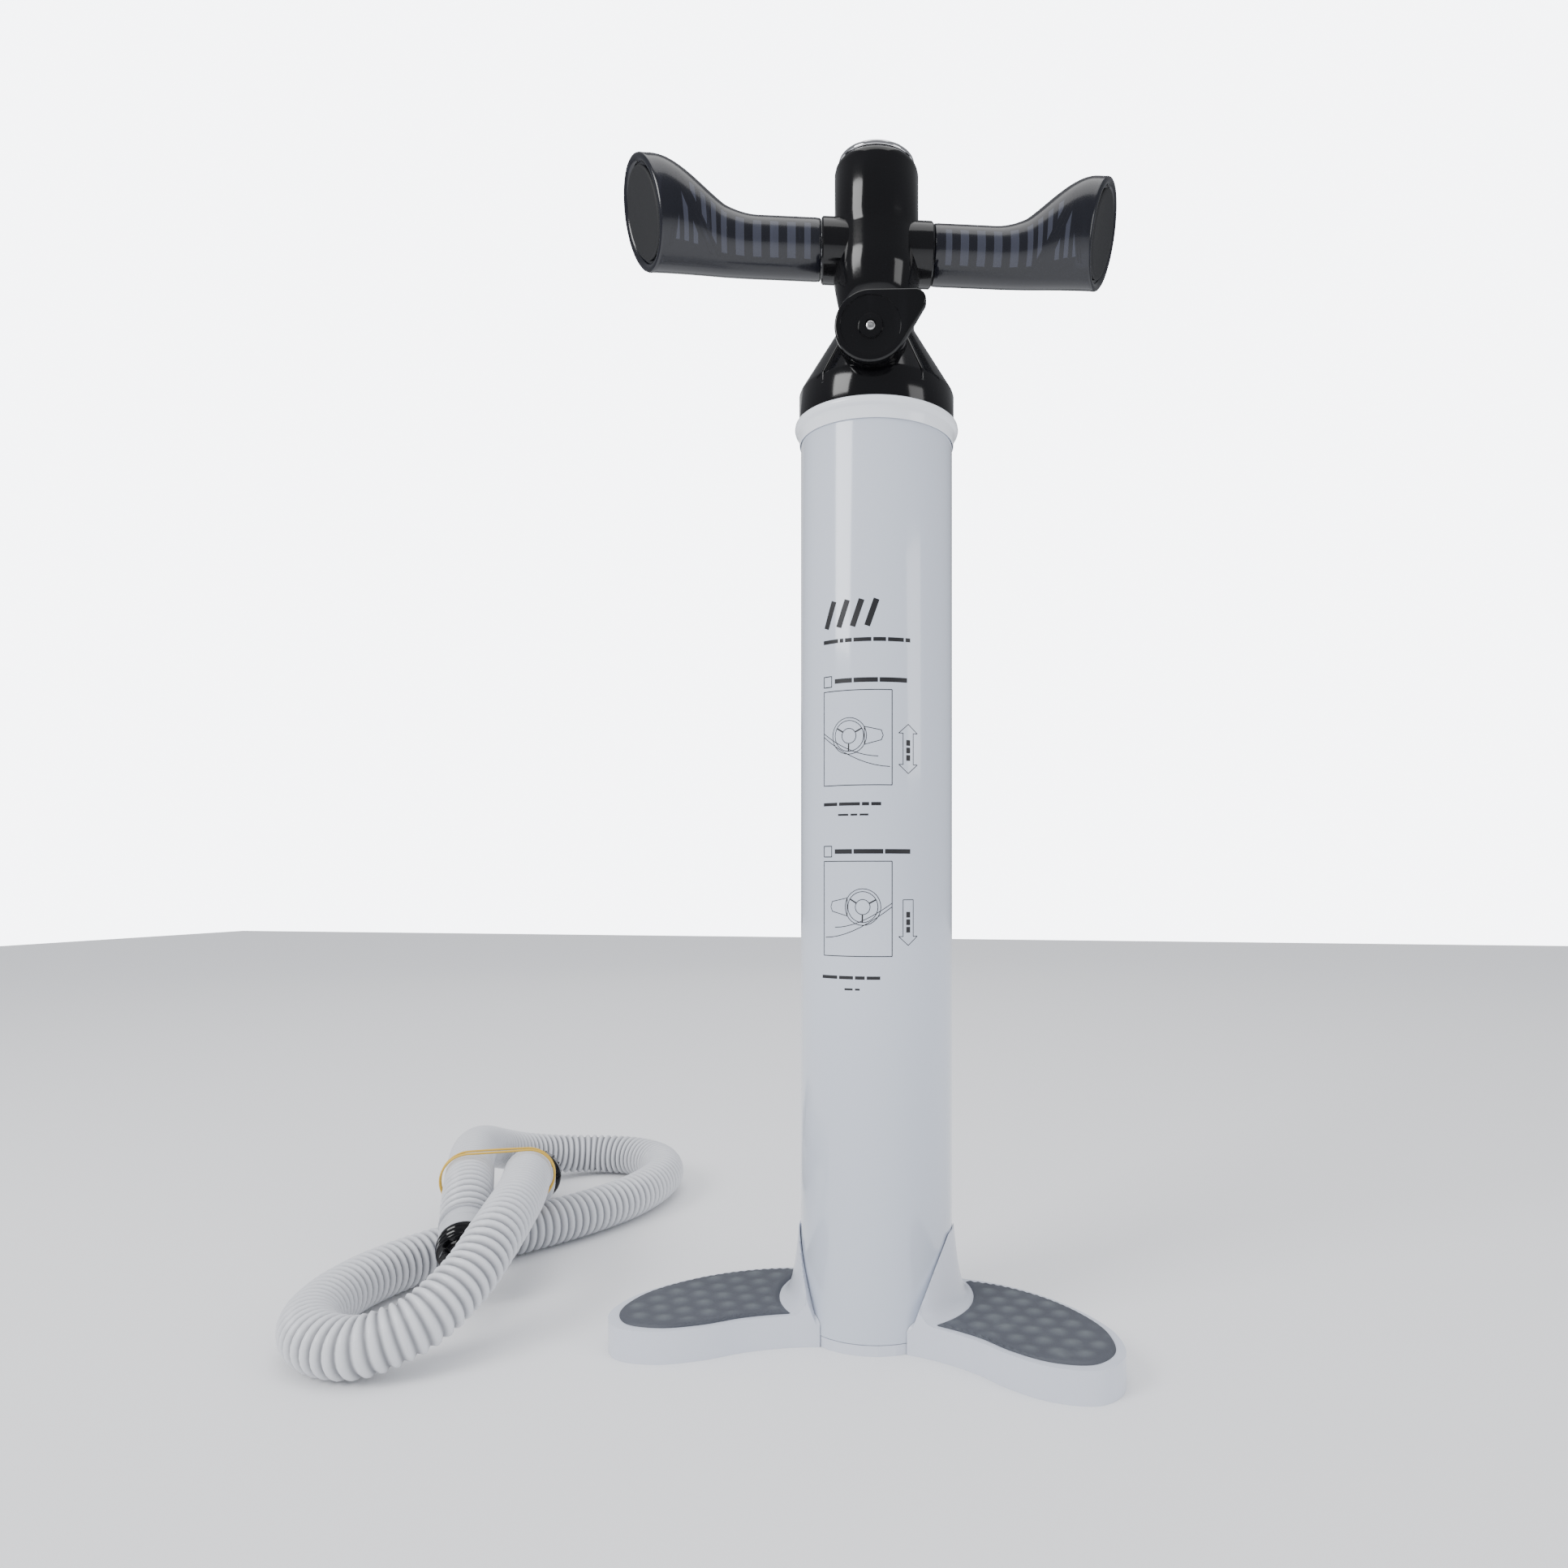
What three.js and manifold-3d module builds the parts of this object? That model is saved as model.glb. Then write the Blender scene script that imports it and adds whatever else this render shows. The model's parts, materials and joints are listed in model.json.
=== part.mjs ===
// Double action hand pump: a barrel on a two-winged foot, a T-handle with a pressure gauge in its hub,
// a selector for one or two actions, and a loose corrugated hose tied in a figure of eight.
// Millimetres, +Z up. The barrel's axis is the Z axis, the floor is Z = 0 and the front faces -Y.
import * as THREE from 'three';
import { mergeVertices } from 'three/addons/utils/BufferGeometryUtils.js';
import Module from 'manifold-3d';

const wasm = await Module();
wasm.setup();

// ---- driving dimensions ----
const GAP = 0.3; // between pieces that touch
const SIDES = { large: 28, middle: 16, small: 8 };

const BARREL = { radius: 45, bore: 43, low: 6.3, high: 528 };
const COLLAR = { inner: 45.3, outer: 48.6, low: 522, high: 534 };
const CAP = { low: 508, shoulder: 534.3, band: 552, high: 602, bandRadius: 46, neckRadius: 22.5 };
const ROD = { radius: 11, wall: 2, low: 33.4, high: 623.5, clearance: 0.35 };
const PISTON = { low: 27, high: 51, radius: 41, grooveRadius: 37, sealRadius: 42.7, sealHeight: 5 };
const PLUG = { flange: 6, high: 24, radius: 42.7 };

const SELECTOR = { z: 569, seat: 47.5, thickness: 6.7, radius: 20, arm: 28, tip: 6, armAngle: 29 };
const SCREW = { head: 2.7, headLength: 1.6, shank: 1.5, length: 20 };

const HANDLE_TURN = 16; // degrees that the handle is turned from the foot's line
const HEAD_TURN = 8; // degrees that the cap and its selector are turned from the foot's front
const HUB = { low: 604, high: 689, radius: 25, skirt: 26, barZ: 639, barRadius: 18, reach: 33 };
const CORE = { radius: 9.5, wall: 1.5, half: 112 };
const GRIP = { inner: HUB.reach + GAP, outer: 157, top: 689, sides: 14, steps: 8 };
const OUTLET = { z: 634, radius: 16.5, bore: 12, depth: 15, reach: 38 };
const GAUGE = { radius: 21.2, wall: 2.2, low: 674.3, lensRadius: 18.6 };
const PIN = { radius: 2, half: 21, z: 614 };

const WING = { top: 18, bevel: 4, skin: 3.5, root: 56, shrink: 0.9, spot: [92, -26] };
const WING_OUTLINE = [
  [16, -36], [40, -42], [64, -53], [85, -68], [109, -78], [132, -76], [143.5, -59],
  [140, -32], [123, -6], [98, 16], [66, 31], [16, 37],
];
const SADDLE = { radius: 64, high: 60 };
const PAD = { height: 2.4, clear: 67 };
const TAB = { half: 78, width: 22, height: 3 };
const WING_SCREWS = [[66, -6], [66, 6]];

const HOSE = { radius: 16.5, sides: 8, steps: 56, x: -278, y: 62, turn: 9 };
const CUFF = { radius: 15.6, length: 16 };
const NUT = { radius: 19.5, length: 24, bore: 12, depth: 12 };
const NOZZLE = { radius: 16, collar: 12, tip: 10.5, length: 24, bore: 7, depth: 12 };
// The hose's centreline from the swivel nut to the nozzle, seen from above, with its height last.
const HOSE_ROUTE = [
  [-17, 100, 22], [-13, 85, 22.3], [-7, 65, 28], [1, 40, 43], [10, 14, 55], [20, -18, 57.5], [29, -52, 58],
  [36, -88, 58], [39, -122, 53], [35, -152, 40], [20, -178, 26], [-5, -190, 18], [-31, -183, 16.8],
  [-49, -162, 16.8], [-56, -133, 16.8], [-54, -100, 16.8], [-44, -68, 16.8], [-26, -37, 16.8],
  [-2, -7, 16.8], [23, 22, 16.8], [46, 53, 16.8], [64, 88, 16.8], [73, 124, 16.8], [73, 160, 16.8],
  [59, 192, 16.8], [32, 212, 16.8], [0, 215, 17.5], [-31, 200, 21], [-53, 174, 29], [-62, 142, 40],
  [-60, 108, 50], [-52, 72, 56], [-41, 38, 57.5], [-28, 4, 57.5], [-16, -27, 56], [-8, -48, 51.5],
  [-1, -67, 43.5],
];
const BAND = { x: -4.8, y: -3, z: 57.2, pitch: 6, turn: 18, half: 19.4, gap: 1.4, thickness: 1.4, width: 2 };

// ---- finishes ----
const finish = (color, roughness, metalness = 0) =>
  new THREE.MeshStandardMaterial({ color, roughness, metalness });
const BARREL_WHITE = finish(0xdfe6ee, 0.25);
const FOOT_WHITE = finish(0xe6e9ee, 0.4);
const PAD_GREY = finish(0x83878f, 0.7);
const GLOSS_BLACK = finish(0x08090b, 0.22);
const GRIP_BLACK = finish(0x14161c, 0.35);
const RUBBER = finish(0x1b1b1c, 0.8);
const STEEL = finish(0xb9bcc0, 0.3, 1);
const CHROME = finish(0xd9dbde, 0.12, 1);
const DIAL_WHITE = finish(0xf2f2ee, 0.5);
const NEEDLE_RED = finish(0xb3261e, 0.5);
const LENS_CLEAR = finish(0xdfe8ea, 0.05);
const HOSE_GREY = finish(0xd6d9df, 0.45);
const BAND_YELLOW = finish(0xd2ac3a, 0.5);

// ---- shapes ----
/** A shape turned about Z from [radius, height] points, bottom to top on the outside. */
function turned(profile, sides = SIDES.large) {
  const points = profile.map(([r, z]) => new THREE.Vector2(r, z));
  return new THREE.LatheGeometry(points, sides).rotateX(Math.PI / 2);
}

/** A solid cylinder about Z. */
function bar(radius, low, high, sides = SIDES.large) {
  return turned([[0, low], [radius, low], [radius, high], [0, high]], sides);
}

/** A hollow cylinder about Z. */
function ring(inner, outer, low, high, sides = SIDES.large) {
  return turned([[inner, low], [outer, low], [outer, high], [inner, high], [inner, low]], sides);
}

/** Lays a shape that stands on Z along X, Y or -Y. */
const alongX = (geometry) => geometry.rotateY(Math.PI / 2);
const alongBack = (geometry) => geometry.rotateX(-Math.PI / 2);
const alongFront = (geometry) => geometry.rotateX(Math.PI / 2);

/** A box from its lowest and highest corners. */
function block(low, high) {
  const size = high.map((value, i) => value - low[i]);
  const centre = high.map((value, i) => (value + low[i]) / 2);
  return new THREE.BoxGeometry(...size).translate(...centre);
}

/** A flat outline given a height. */
function slab(shape, low, high, extra = {}) {
  const options = { depth: high - low, bevelEnabled: false, curveSegments: 2, ...extra };
  return new THREE.ExtrudeGeometry(shape, options).translate(0, 0, low);
}

/** The same shape on the other side of the X = 0 plane, with its faces still pointing out. */
function mirrored(geometry) {
  const flipped = mergeVertices(bareOf(geometry));
  flipped.scale(-1, 1, 1);
  const index = flipped.index.array;
  for (let i = 0; i < index.length; i += 3) {
    [index[i], index[i + 1]] = [index[i + 1], index[i]];
  }
  flipped.computeVertexNormals();
  return flipped;
}

/** A copy of a geometry with only its positions. */
function bareOf(geometry) {
  const bare = geometry.clone();
  bare.deleteAttribute('normal');
  bare.deleteAttribute('uv');
  return bare;
}

/** A closed geometry as a solid that can be cut and joined. */
function solid(geometry) {
  const welded = mergeVertices(bareOf(geometry), 1e-4);
  const index = welded.index.array;
  const kept = [];
  for (let i = 0; i < index.length; i += 3) {
    const [a, b, c] = [index[i], index[i + 1], index[i + 2]];
    if (a !== b && b !== c && c !== a) kept.push(a, b, c);
  }
  const vertProperties = new Float32Array(welded.attributes.position.array);
  const triVerts = new Uint32Array(kept);
  return new wasm.Manifold(new wasm.Mesh({ numProp: 3, vertProperties, triVerts }));
}

/** A solid as a geometry again. */
function shaped(result) {
  const mesh = result.getMesh();
  const geometry = new THREE.BufferGeometry();
  geometry.setAttribute('position', new THREE.BufferAttribute(mesh.vertProperties, 3));
  geometry.setIndex(new THREE.BufferAttribute(mesh.triVerts, 1));
  geometry.computeVertexNormals();
  return geometry;
}

/** One geometry joined with some and then cut by others. */
function carved(first, joins, cuts) {
  const joined = joins.reduce((whole, piece) => whole.add(solid(piece)), solid(first));
  return shaped(cuts.reduce((whole, piece) => whole.subtract(solid(piece)), joined));
}

/** Adds a named piece to a group. */
function piece(group, name, geometry, material) {
  const mesh = new THREE.Mesh(geometry, material);
  mesh.name = name;
  group.add(mesh);
  return mesh;
}

// ---- barrel, collar and the cap with its guides ----
function addBarrel(group) {
  piece(group, 'barrel_tube', ring(BARREL.bore, BARREL.radius, BARREL.low, BARREL.high), BARREL_WHITE);
  piece(group, 'barrel_collar', ring(COLLAR.inner, COLLAR.outer, COLLAR.low, COLLAR.high), FOOT_WHITE);
  piece(group, 'base_plug', basePlug(), FOOT_WHITE);
  piece(group, 'intake_valve_flap', bar(16, 18.3, 20, SIDES.middle), RUBBER);
}

/** The plug in the barrel's foot, with the tab that both wings are screwed to. */
function basePlug() {
  const { flange, high, radius } = PLUG;
  const body = turned([
    [0, 0], [BARREL.radius, 0], [BARREL.radius, flange], [radius, flange], [radius, high],
    [20, high], [20, 18], [0, 18],
  ]);
  const tab = block([-TAB.half, -TAB.width / 2, 0], [TAB.half, TAB.width / 2, TAB.height]);
  const holes = [];
  for (const side of [-1, 1]) {
    for (const [x, y] of WING_SCREWS) {
      holes.push(bar(2, -1, TAB.height + 1, SIDES.small).translate(side * x, y, 0));
      holes.push(bar(3.7, -1, 2, SIDES.small).translate(side * x, y, 0));
    }
  }
  return carved(body, [tab], holes);
}

function addCap(group) {
  piece(group, 'head_cap', headCap(), GLOSS_BLACK);
  piece(group, 'head_seal', ring(40.8, 42.6, 514.3, 517.7), RUBBER);
  piece(group, 'valve_plate', ring(13, 35.7, 509, 513), FOOT_WHITE);
  piece(group, 'head_valve_flap', ring(16, 30, 507, 508.6, SIDES.middle), RUBBER);
  const inner = ROD.radius + ROD.clearance;
  piece(group, 'rod_seal', ring(inner, 15.7, 586.3, 591.6, SIDES.middle), RUBBER);
  piece(group, 'rod_bush', ring(inner, 15.7, 592, 601.6, SIDES.middle), FOOT_WHITE);
}

/** The cone over the barrel: a plug below, a band, the cone, and a neck that guides the rod. */
function headCap() {
  const { low, shoulder, band, high, bandRadius, neckRadius } = CAP;
  const shell = turned([
    [36, low], [42.5, low], [42.5, 514], [40.5, 514], [40.5, 518], [42.5, 518], [42.5, shoulder],
    [bandRadius, shoulder], [bandRadius, band], [24, 588], [neckRadius, 592], [neckRadius, high],
    [16, high], [16, 586], [13, 586], [13, 578], [36, 546], [36, low],
  ]);
  const seat = alongFront(bar(SELECTOR.radius - 1, 26, SELECTOR.seat)).translate(0, 0, SELECTOR.z);
  const groove = alongFront(ring(11.7, 14.3, SELECTOR.seat - 1.8, SELECTOR.seat + 1, SIDES.middle));
  const hole = alongFront(bar(SCREW.shank + GAP, 33, SELECTOR.seat + 1, SIDES.small));
  const cuts = [groove, hole].map((cut) => cut.translate(0, 0, SELECTOR.z));
  return carved(shell, [seat], cuts);
}

// ---- selector ----
function addSelector(group) {
  const { z, seat, thickness } = SELECTOR;
  piece(group, 'selector_knob', selectorKnob(), GLOSS_BLACK);
  const seal = alongFront(ring(12, 14, seat - 1.5, seat, SIDES.middle)).translate(0, 0, z);
  piece(group, 'selector_seal', seal, RUBBER);
  const neck = seat + GAP + thickness - SCREW.headLength;
  const screw = turned([
    [0, neck - SCREW.length + 4], [SCREW.shank, neck - SCREW.length + 4], [SCREW.shank, neck],
    [SCREW.head, neck], [SCREW.head, neck + SCREW.headLength], [0, neck + SCREW.headLength],
  ], SIDES.small);
  piece(group, 'selector_screw', alongFront(screw).translate(0, 0, z), STEEL);
}

/** A round disc that runs out into a thumb lever, drawn as two circles and their outer tangents. */
function selectorKnob() {
  const { z, seat, thickness, radius, arm, tip, armAngle } = SELECTOR;
  const lean = THREE.MathUtils.degToRad(armAngle);
  const wrap = Math.acos((radius - tip) / arm);
  const outline = new THREE.Shape();
  outline.absarc(0, 0, radius, lean + wrap, lean - wrap + 2 * Math.PI);
  outline.absarc(arm * Math.cos(lean), arm * Math.sin(lean), tip, lean - wrap, lean + wrap);
  const bevel = { bevelEnabled: true, bevelSize: 1.2, bevelThickness: 1.2, bevelSegments: 1 };
  const options = { ...bevel, bevelOffset: -1.2, curveSegments: 12 };
  const disc = slab(outline, 1.2, thickness - 1.2, options);
  const front = seat + GAP;
  const hole = bar(SCREW.shank + GAP, -1, thickness + 1, SIDES.small);
  const recess = bar(SCREW.head + GAP, thickness - SCREW.headLength - GAP, thickness + 1, SIDES.small);
  return carved(disc, [], [hole, recess]).rotateX(Math.PI / 2).translate(0, -front, z);
}

// ---- foot ----
function addFoot(group) {
  const wing = wingShell();
  const pad = wingPad();
  piece(group, 'foot_wing_right', wing, FOOT_WHITE);
  piece(group, 'foot_wing_left', mirrored(wing), FOOT_WHITE);
  piece(group, 'foot_pad_right', pad, PAD_GREY);
  piece(group, 'foot_pad_left', mirrored(pad), PAD_GREY);
  for (const [label, side] of [['right', 1], ['left', -1]]) {
    WING_SCREWS.forEach(([x, y], i) => {
      const screw = turned([[0, 0.4], [3.3, 0.4], [3.3, 1.8], [1.6, 1.8], [1.6, 12], [0, 12]], SIDES.small);
      piece(group, `wing_screw_${label}_${i + 1}`, screw.translate(side * x, y, 0), STEEL);
    });
  }
}

/** The right wing's outline, drawn in towards a spot inside it when share is below 1. */
function wingOutline(share = 1) {
  const [cx, cy] = WING.spot;
  const drawnIn = ([x, y]) => new THREE.Vector2(cx + (x - cx) * share, cy + (y - cy) * share);
  const points = WING_OUTLINE.map(drawnIn);
  const outline = new THREE.Shape();
  outline.moveTo(points[0].x, points[0].y);
  outline.splineThru(points.slice(1));
  outline.closePath();
  return outline;
}

/** A wing: a shell that is open underneath, with a root that climbs the barrel's side. */
function wingShell() {
  const { top, bevel, skin, root, shrink } = WING;
  const edge = { bevelEnabled: true, bevelSize: bevel, bevelThickness: bevel, bevelSegments: 2 };
  const plate = solid(slab(wingOutline(), -10, top - bevel, { ...edge, bevelOffset: -bevel }));
  const climb = solid(turned([
    [40, -1], [SADDLE.radius, -1], [SADDLE.radius, 17.6], [57, 20], [51, 27], [47.8, 40],
    [46.4, SADDLE.high], [40, SADDLE.high], [40, -1],
  ]));
  const wedge = new THREE.Shape([[22, -2], [90, -2], [90, 62], [45.4, 62]].map((p) => new THREE.Vector2(...p)));
  const side = solid(slab(wedge, -90, 90).rotateX(Math.PI / 2));
  const column = solid(bar(BARREL.radius + GAP, -20, 90));
  const above = solid(block([0, -120, 0], [200, 120, 90]));
  const bosses = WING_SCREWS.map(([x, y]) => solid(bar(4.5, -2, top, SIDES.small).translate(x, y, 0)));
  const slotHalf = TAB.width / 2 + GAP;
  const slot = solid(block([0, -slotHalf, -1], [TAB.half + GAP, slotHalf, TAB.height + GAP]));
  const rootPost = solid(bar(root, -2, top));
  let hollow = solid(slab(wingOutline(shrink), -1, top - skin)).subtract(rootPost);
  hollow = bosses.reduce((whole, boss) => whole.subtract(boss), hollow);
  let wing = plate.add(climb.intersect(side)).intersect(above).subtract(column).subtract(hollow).subtract(slot);
  for (const [x, y] of WING_SCREWS) {
    wing = wing.subtract(solid(bar(1.6 + GAP, 0, 12.5, SIDES.small).translate(x, y, 0)));
  }
  return shaped(wing);
}

/** The grey tread on the right wing. */
function wingPad() {
  const low = WING.top + GAP;
  const tread = solid(slab(wingOutline(WING.shrink), low, low + PAD.height));
  return shaped(tread.subtract(solid(bar(PAD.clear, low - 1, low + 9))));
}

// ---- piston and rod ----
function addPiston(group) {
  const { low, high, radius, grooveRadius, sealRadius, sealHeight } = PISTON;
  const profile = [[0, low], [radius, low]];
  const seals = [31, 42];
  for (const seal of seals) {
    profile.push([radius, seal - GAP], [grooveRadius, seal - GAP]);
    profile.push([grooveRadius, seal + sealHeight + GAP], [radius, seal + sealHeight + GAP]);
  }
  profile.push([radius, high], [ROD.radius + 0.6, high], [ROD.radius + 0.6, ROD.low - GAP - 0.1]);
  profile.push([0, ROD.low - GAP - 0.1]);
  piece(group, 'piston_core', turned(profile), FOOT_WHITE);
  seals.forEach((seal, i) => {
    const cup = ring(grooveRadius + GAP, sealRadius, seal, seal + sealHeight);
    piece(group, `piston_seal_${i + 1}`, cup, RUBBER);
  });
  piece(group, 'piston_valve_flap', ring(14, 26, high + GAP, high + 1.8, SIDES.middle), RUBBER);
}

// ---- handle ----
function addHandle(group) {
  const pinHole = alongX(bar(PIN.radius + GAP, -30, 30, SIDES.small)).translate(0, 0, PIN.z);
  const tube = ring(ROD.radius - ROD.wall, ROD.radius, ROD.low, ROD.high, SIDES.middle);
  piece(group, 'piston_rod', carved(tube, [], [pinHole]), STEEL);
  piece(group, 'handle_hub', handleHub(pinHole), GLOSS_BLACK);
  const pin = alongX(bar(PIN.radius, -PIN.half, PIN.half, SIDES.small)).translate(0, 0, PIN.z);
  piece(group, 'rod_pin', pin, STEEL);
  const core = alongX(ring(CORE.radius - CORE.wall, CORE.radius, -CORE.half, CORE.half, SIDES.middle));
  piece(group, 'handle_core', core.translate(0, 0, HUB.barZ), STEEL);
  piece(group, 'grip_right', grip(), GRIP_BLACK);
  piece(group, 'grip_left', mirrored(grip()), GRIP_BLACK);
  piece(group, 'grip_end_right', gripEnd(), RUBBER);
  piece(group, 'grip_end_left', mirrored(gripEnd()), RUBBER);
}

/** The hub: a gauge pot above the bar, a skirt below it, sockets for the core, and the air outlet behind. */
function handleHub(pinHole) {
  const { low, high, radius, skirt, barZ, barRadius, reach } = HUB;
  const body = turned([
    [0, low], [22.5, low], [24.6, 613], [skirt, 622], [skirt, 627], [24.6, 650], [radius, 654],
    [radius, high - 5], [23.6, high - 1.4], [22, high], [0, high],
  ]);
  const arm = alongX(bar(barRadius, -reach, reach, SIDES.middle)).translate(0, 0, barZ);
  const outlet = alongBack(bar(OUTLET.radius, 0, OUTLET.reach, SIDES.middle)).translate(0, 0, OUTLET.z);
  const { bore, depth } = OUTLET;
  const mouth = alongBack(bar(bore, OUTLET.reach - depth, OUTLET.reach + 1, SIDES.middle));
  const rodBore = bar(ROD.radius + ROD.clearance, low - 1, ROD.high + 0.5, SIDES.middle);
  const coreBore = alongX(bar(CORE.radius + GAP, -reach - 1, reach + 1, SIDES.middle));
  const pot = bar(GAUGE.radius + GAP, GAUGE.low - GAP, high + 1);
  const cuts = [mouth.translate(0, 0, OUTLET.z), rodBore, coreBore.translate(0, 0, barZ), pot, pinHole];
  return carved(body, [arm, outlet], cuts);
}

/** How high, how deep and how far up a grip's section is at a share of its length. */
function gripSection(t) {
  const rise = Math.min(1, Math.max(0, (t - 0.3) / 0.62));
  const flare = rise * rise * (3 - 2 * rise);
  const bottom = 622.5 + 1.5 * flare;
  const top = 656 + (GRIP.top - 656) * flare;
  return { half: (top - bottom) / 2, middle: (top + bottom) / 2, deep: 16.8 + 6.5 * flare };
}

/** How far in a point lies, because the outer end is cut so that its top and its back stand furthest out. */
const lean = (y, z, t) => (0.5 * (y - 23.3) - 0.22 * (GRIP.top - z)) * Math.max(0, (t - 0.45) / 0.55);

/** The right grip: a round bar that flares upwards, bored for the core and dished at its outer end. */
function grip() {
  const { inner, outer, sides, steps } = GRIP;
  const blank = new THREE.CylinderGeometry(1, 1, 1, sides, steps).rotateX(Math.PI / 2).translate(0, 0, 0.5);
  const shape = gripFrom(alongX(blank), inner, outer, 1, 0);
  const bore = alongX(bar(CORE.radius + GAP, inner - 1, CORE.half + 1, SIDES.middle)).translate(0, 0, HUB.barZ);
  const recess = gripFrom(alongX(bar(1, 0, 1, sides)), outer - 2.2, outer + 3, 0.84, 1);
  return carved(shape, [], [bore, recess]);
}

/** The oval rubber inlay in the right grip's outer end. */
function gripEnd() {
  const blank = alongX(bar(1, 0, 1, GRIP.sides));
  return gripFrom(blank, GRIP.outer - 1.9, GRIP.outer - 0.1, 0.8, 1);
}

/** A unit bar along X stretched to the grip's form between two places, at a share of its section. */
function gripFrom(unit, from, to, share, fixed) {
  const place = unit.attributes.position;
  for (let i = 0; i < place.count; i += 1) {
    const along = place.getX(i);
    const t = fixed || along;
    const { half, middle, deep } = gripSection(t);
    const z = middle + place.getZ(i) * half * share;
    const y = place.getY(i) * deep * share;
    place.setXYZ(i, from + (to - from) * along + lean(y, z, t), y, z);
  }
  return unit;
}

// ---- gauge in the top of the hub ----
function addGauge(group) {
  const { radius, wall, low, lensRadius } = GAUGE;
  const floor = low + 2.4;
  const brim = HUB.high - 0.8;
  const cup = turned([
    [0, low], [radius, low], [radius, brim], [radius - wall, brim], [radius - wall, floor], [0, floor],
  ]);
  piece(group, 'gauge_case', cup, GLOSS_BLACK);
  piece(group, 'gauge_dial', bar(radius - wall - GAP, floor + GAP, floor + 1.2), DIAL_WHITE);
  piece(group, 'gauge_bezel', ring(lensRadius + GAP, 22.8, HUB.high + GAP, HUB.high + 3.6), CHROME);
  const lens = turned([
    [0, brim + 0.4], [lensRadius, brim + 0.4], [lensRadius, brim + 4], [15, brim + 6],
    [9, brim + 7.2], [0, brim + 7.8],
  ]);
  piece(group, 'gauge_lens', lens, LENS_CLEAR);
  const top = floor + 1.5;
  const boss = bar(2.2, top, top + 1.6, SIDES.small);
  const hand = new THREE.Shape([[-1, -4], [1, -4], [0.35, 15], [-0.35, 15]].map((p) => new THREE.Vector2(...p)));
  const turn = THREE.MathUtils.degToRad(135);
  piece(group, 'gauge_needle', carved(boss, [slab(hand, top + 0.4, top + 1.2)], []).rotateZ(turn), NEEDLE_RED);
}

// ---- hose ----
/** A shape that stands on Z, moved so that it starts at a point and runs along a direction. */
function laid(geometry, start, direction) {
  const turn = new THREE.Quaternion().setFromUnitVectors(new THREE.Vector3(0, 0, 1), direction);
  return geometry.applyQuaternion(turn).translate(start.x, start.y, start.z);
}

function addHose(group) {
  const route = new THREE.CatmullRomCurve3(HOSE_ROUTE.map((p) => new THREE.Vector3(...p)), false, 'centripetal');
  const section = new THREE.Shape();
  for (let i = 0; i < HOSE.sides; i += 1) {
    const angle = (2 * Math.PI * i) / HOSE.sides;
    const corner = [HOSE.radius * Math.cos(angle), HOSE.radius * Math.sin(angle)];
    if (i === 0) section.moveTo(...corner);
    else section.lineTo(...corner);
  }
  section.closePath();
  const tube = new THREE.ExtrudeGeometry(section, { steps: HOSE.steps, extrudePath: route });
  piece(group, 'hose_tube', tube, HOSE_GREY);
  const ends = [
    { name: 'nut', at: route.getPoint(0), way: route.getTangent(0).negate() },
    { name: 'nozzle', at: route.getPoint(1), way: route.getTangent(1) },
  ];
  for (const { name, at, way } of ends) {
    const cuff = bar(CUFF.radius, GAP, CUFF.length, SIDES.middle);
    piece(group, `hose_cuff_${name}`, laid(cuff, at, way), HOSE_GREY);
  }
  const [nutEnd, nozzleEnd] = ends;
  piece(group, 'hose_nut', laid(hoseNut(), nutEnd.at, nutEnd.way), GLOSS_BLACK);
  piece(group, 'hose_nozzle', laid(hoseNozzle(), nozzleEnd.at, nozzleEnd.way), GLOSS_BLACK);
}

/** The swivel nut: a cup whose mouth takes the pump's outlet, with a lip round it. */
function hoseNut() {
  const { radius, length, bore, depth } = NUT;
  const low = CUFF.length + GAP;
  return turned([
    [0, low], [16.5, low], [radius, low + 3], [radius, low + 8], [radius - 1.5, low + 10],
    [radius - 1.5, low + length - 2], [radius - 3, low + length], [bore, low + length],
    [bore, low + length - depth], [0, low + length - depth],
  ], SIDES.middle);
}

/** The bayonet nozzle: a collar, a tapered tip with an open mouth, and two lugs. */
function hoseNozzle() {
  const { radius, collar, tip, length, bore, depth } = NOZZLE;
  const low = CUFF.length + GAP;
  const body = turned([
    [0, low], [radius, low], [radius, low + collar], [tip + 1, low + collar], [tip, low + length],
    [bore, low + length], [bore, low + length - depth], [0, low + length - depth],
  ], SIDES.middle);
  const lug = block([-14, -3, low + 16], [14, 3, low + 20]);
  const mouth = bar(bore, low + length - depth, low + length + 1, SIDES.middle);
  return carved(body, [lug], [mouth]);
}

/** Two turns of a yellow elastic band round the two strands that lie side by side. */
function addBands(group) {
  const inner = HOSE.radius + BAND.gap;
  const loop = stadium(BAND.half, inner + BAND.thickness);
  loop.holes.push(stadium(BAND.half, inner));
  const turn = THREE.MathUtils.degToRad(BAND.turn);
  for (const i of [0, 1]) {
    const band = slab(loop, i * BAND.pitch, i * BAND.pitch + BAND.width, { curveSegments: 5 });
    band.rotateX(Math.PI / 2).rotateZ(turn).translate(BAND.x, BAND.y, BAND.z);
    piece(group, `tie_band_${i + 1}`, band, BAND_YELLOW);
  }
}

/** A flat outline with two straight sides and two round ends. */
function stadium(half, radius) {
  const outline = new THREE.Shape();
  outline.absarc(half, 0, radius, -Math.PI / 2, Math.PI / 2);
  outline.absarc(-half, 0, radius, Math.PI / 2, 1.5 * Math.PI);
  outline.closePath();
  return outline;
}

// ---- the whole pump ----
const pump = new THREE.Group();
addBarrel(pump);
addFoot(pump);
addPiston(pump);

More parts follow.
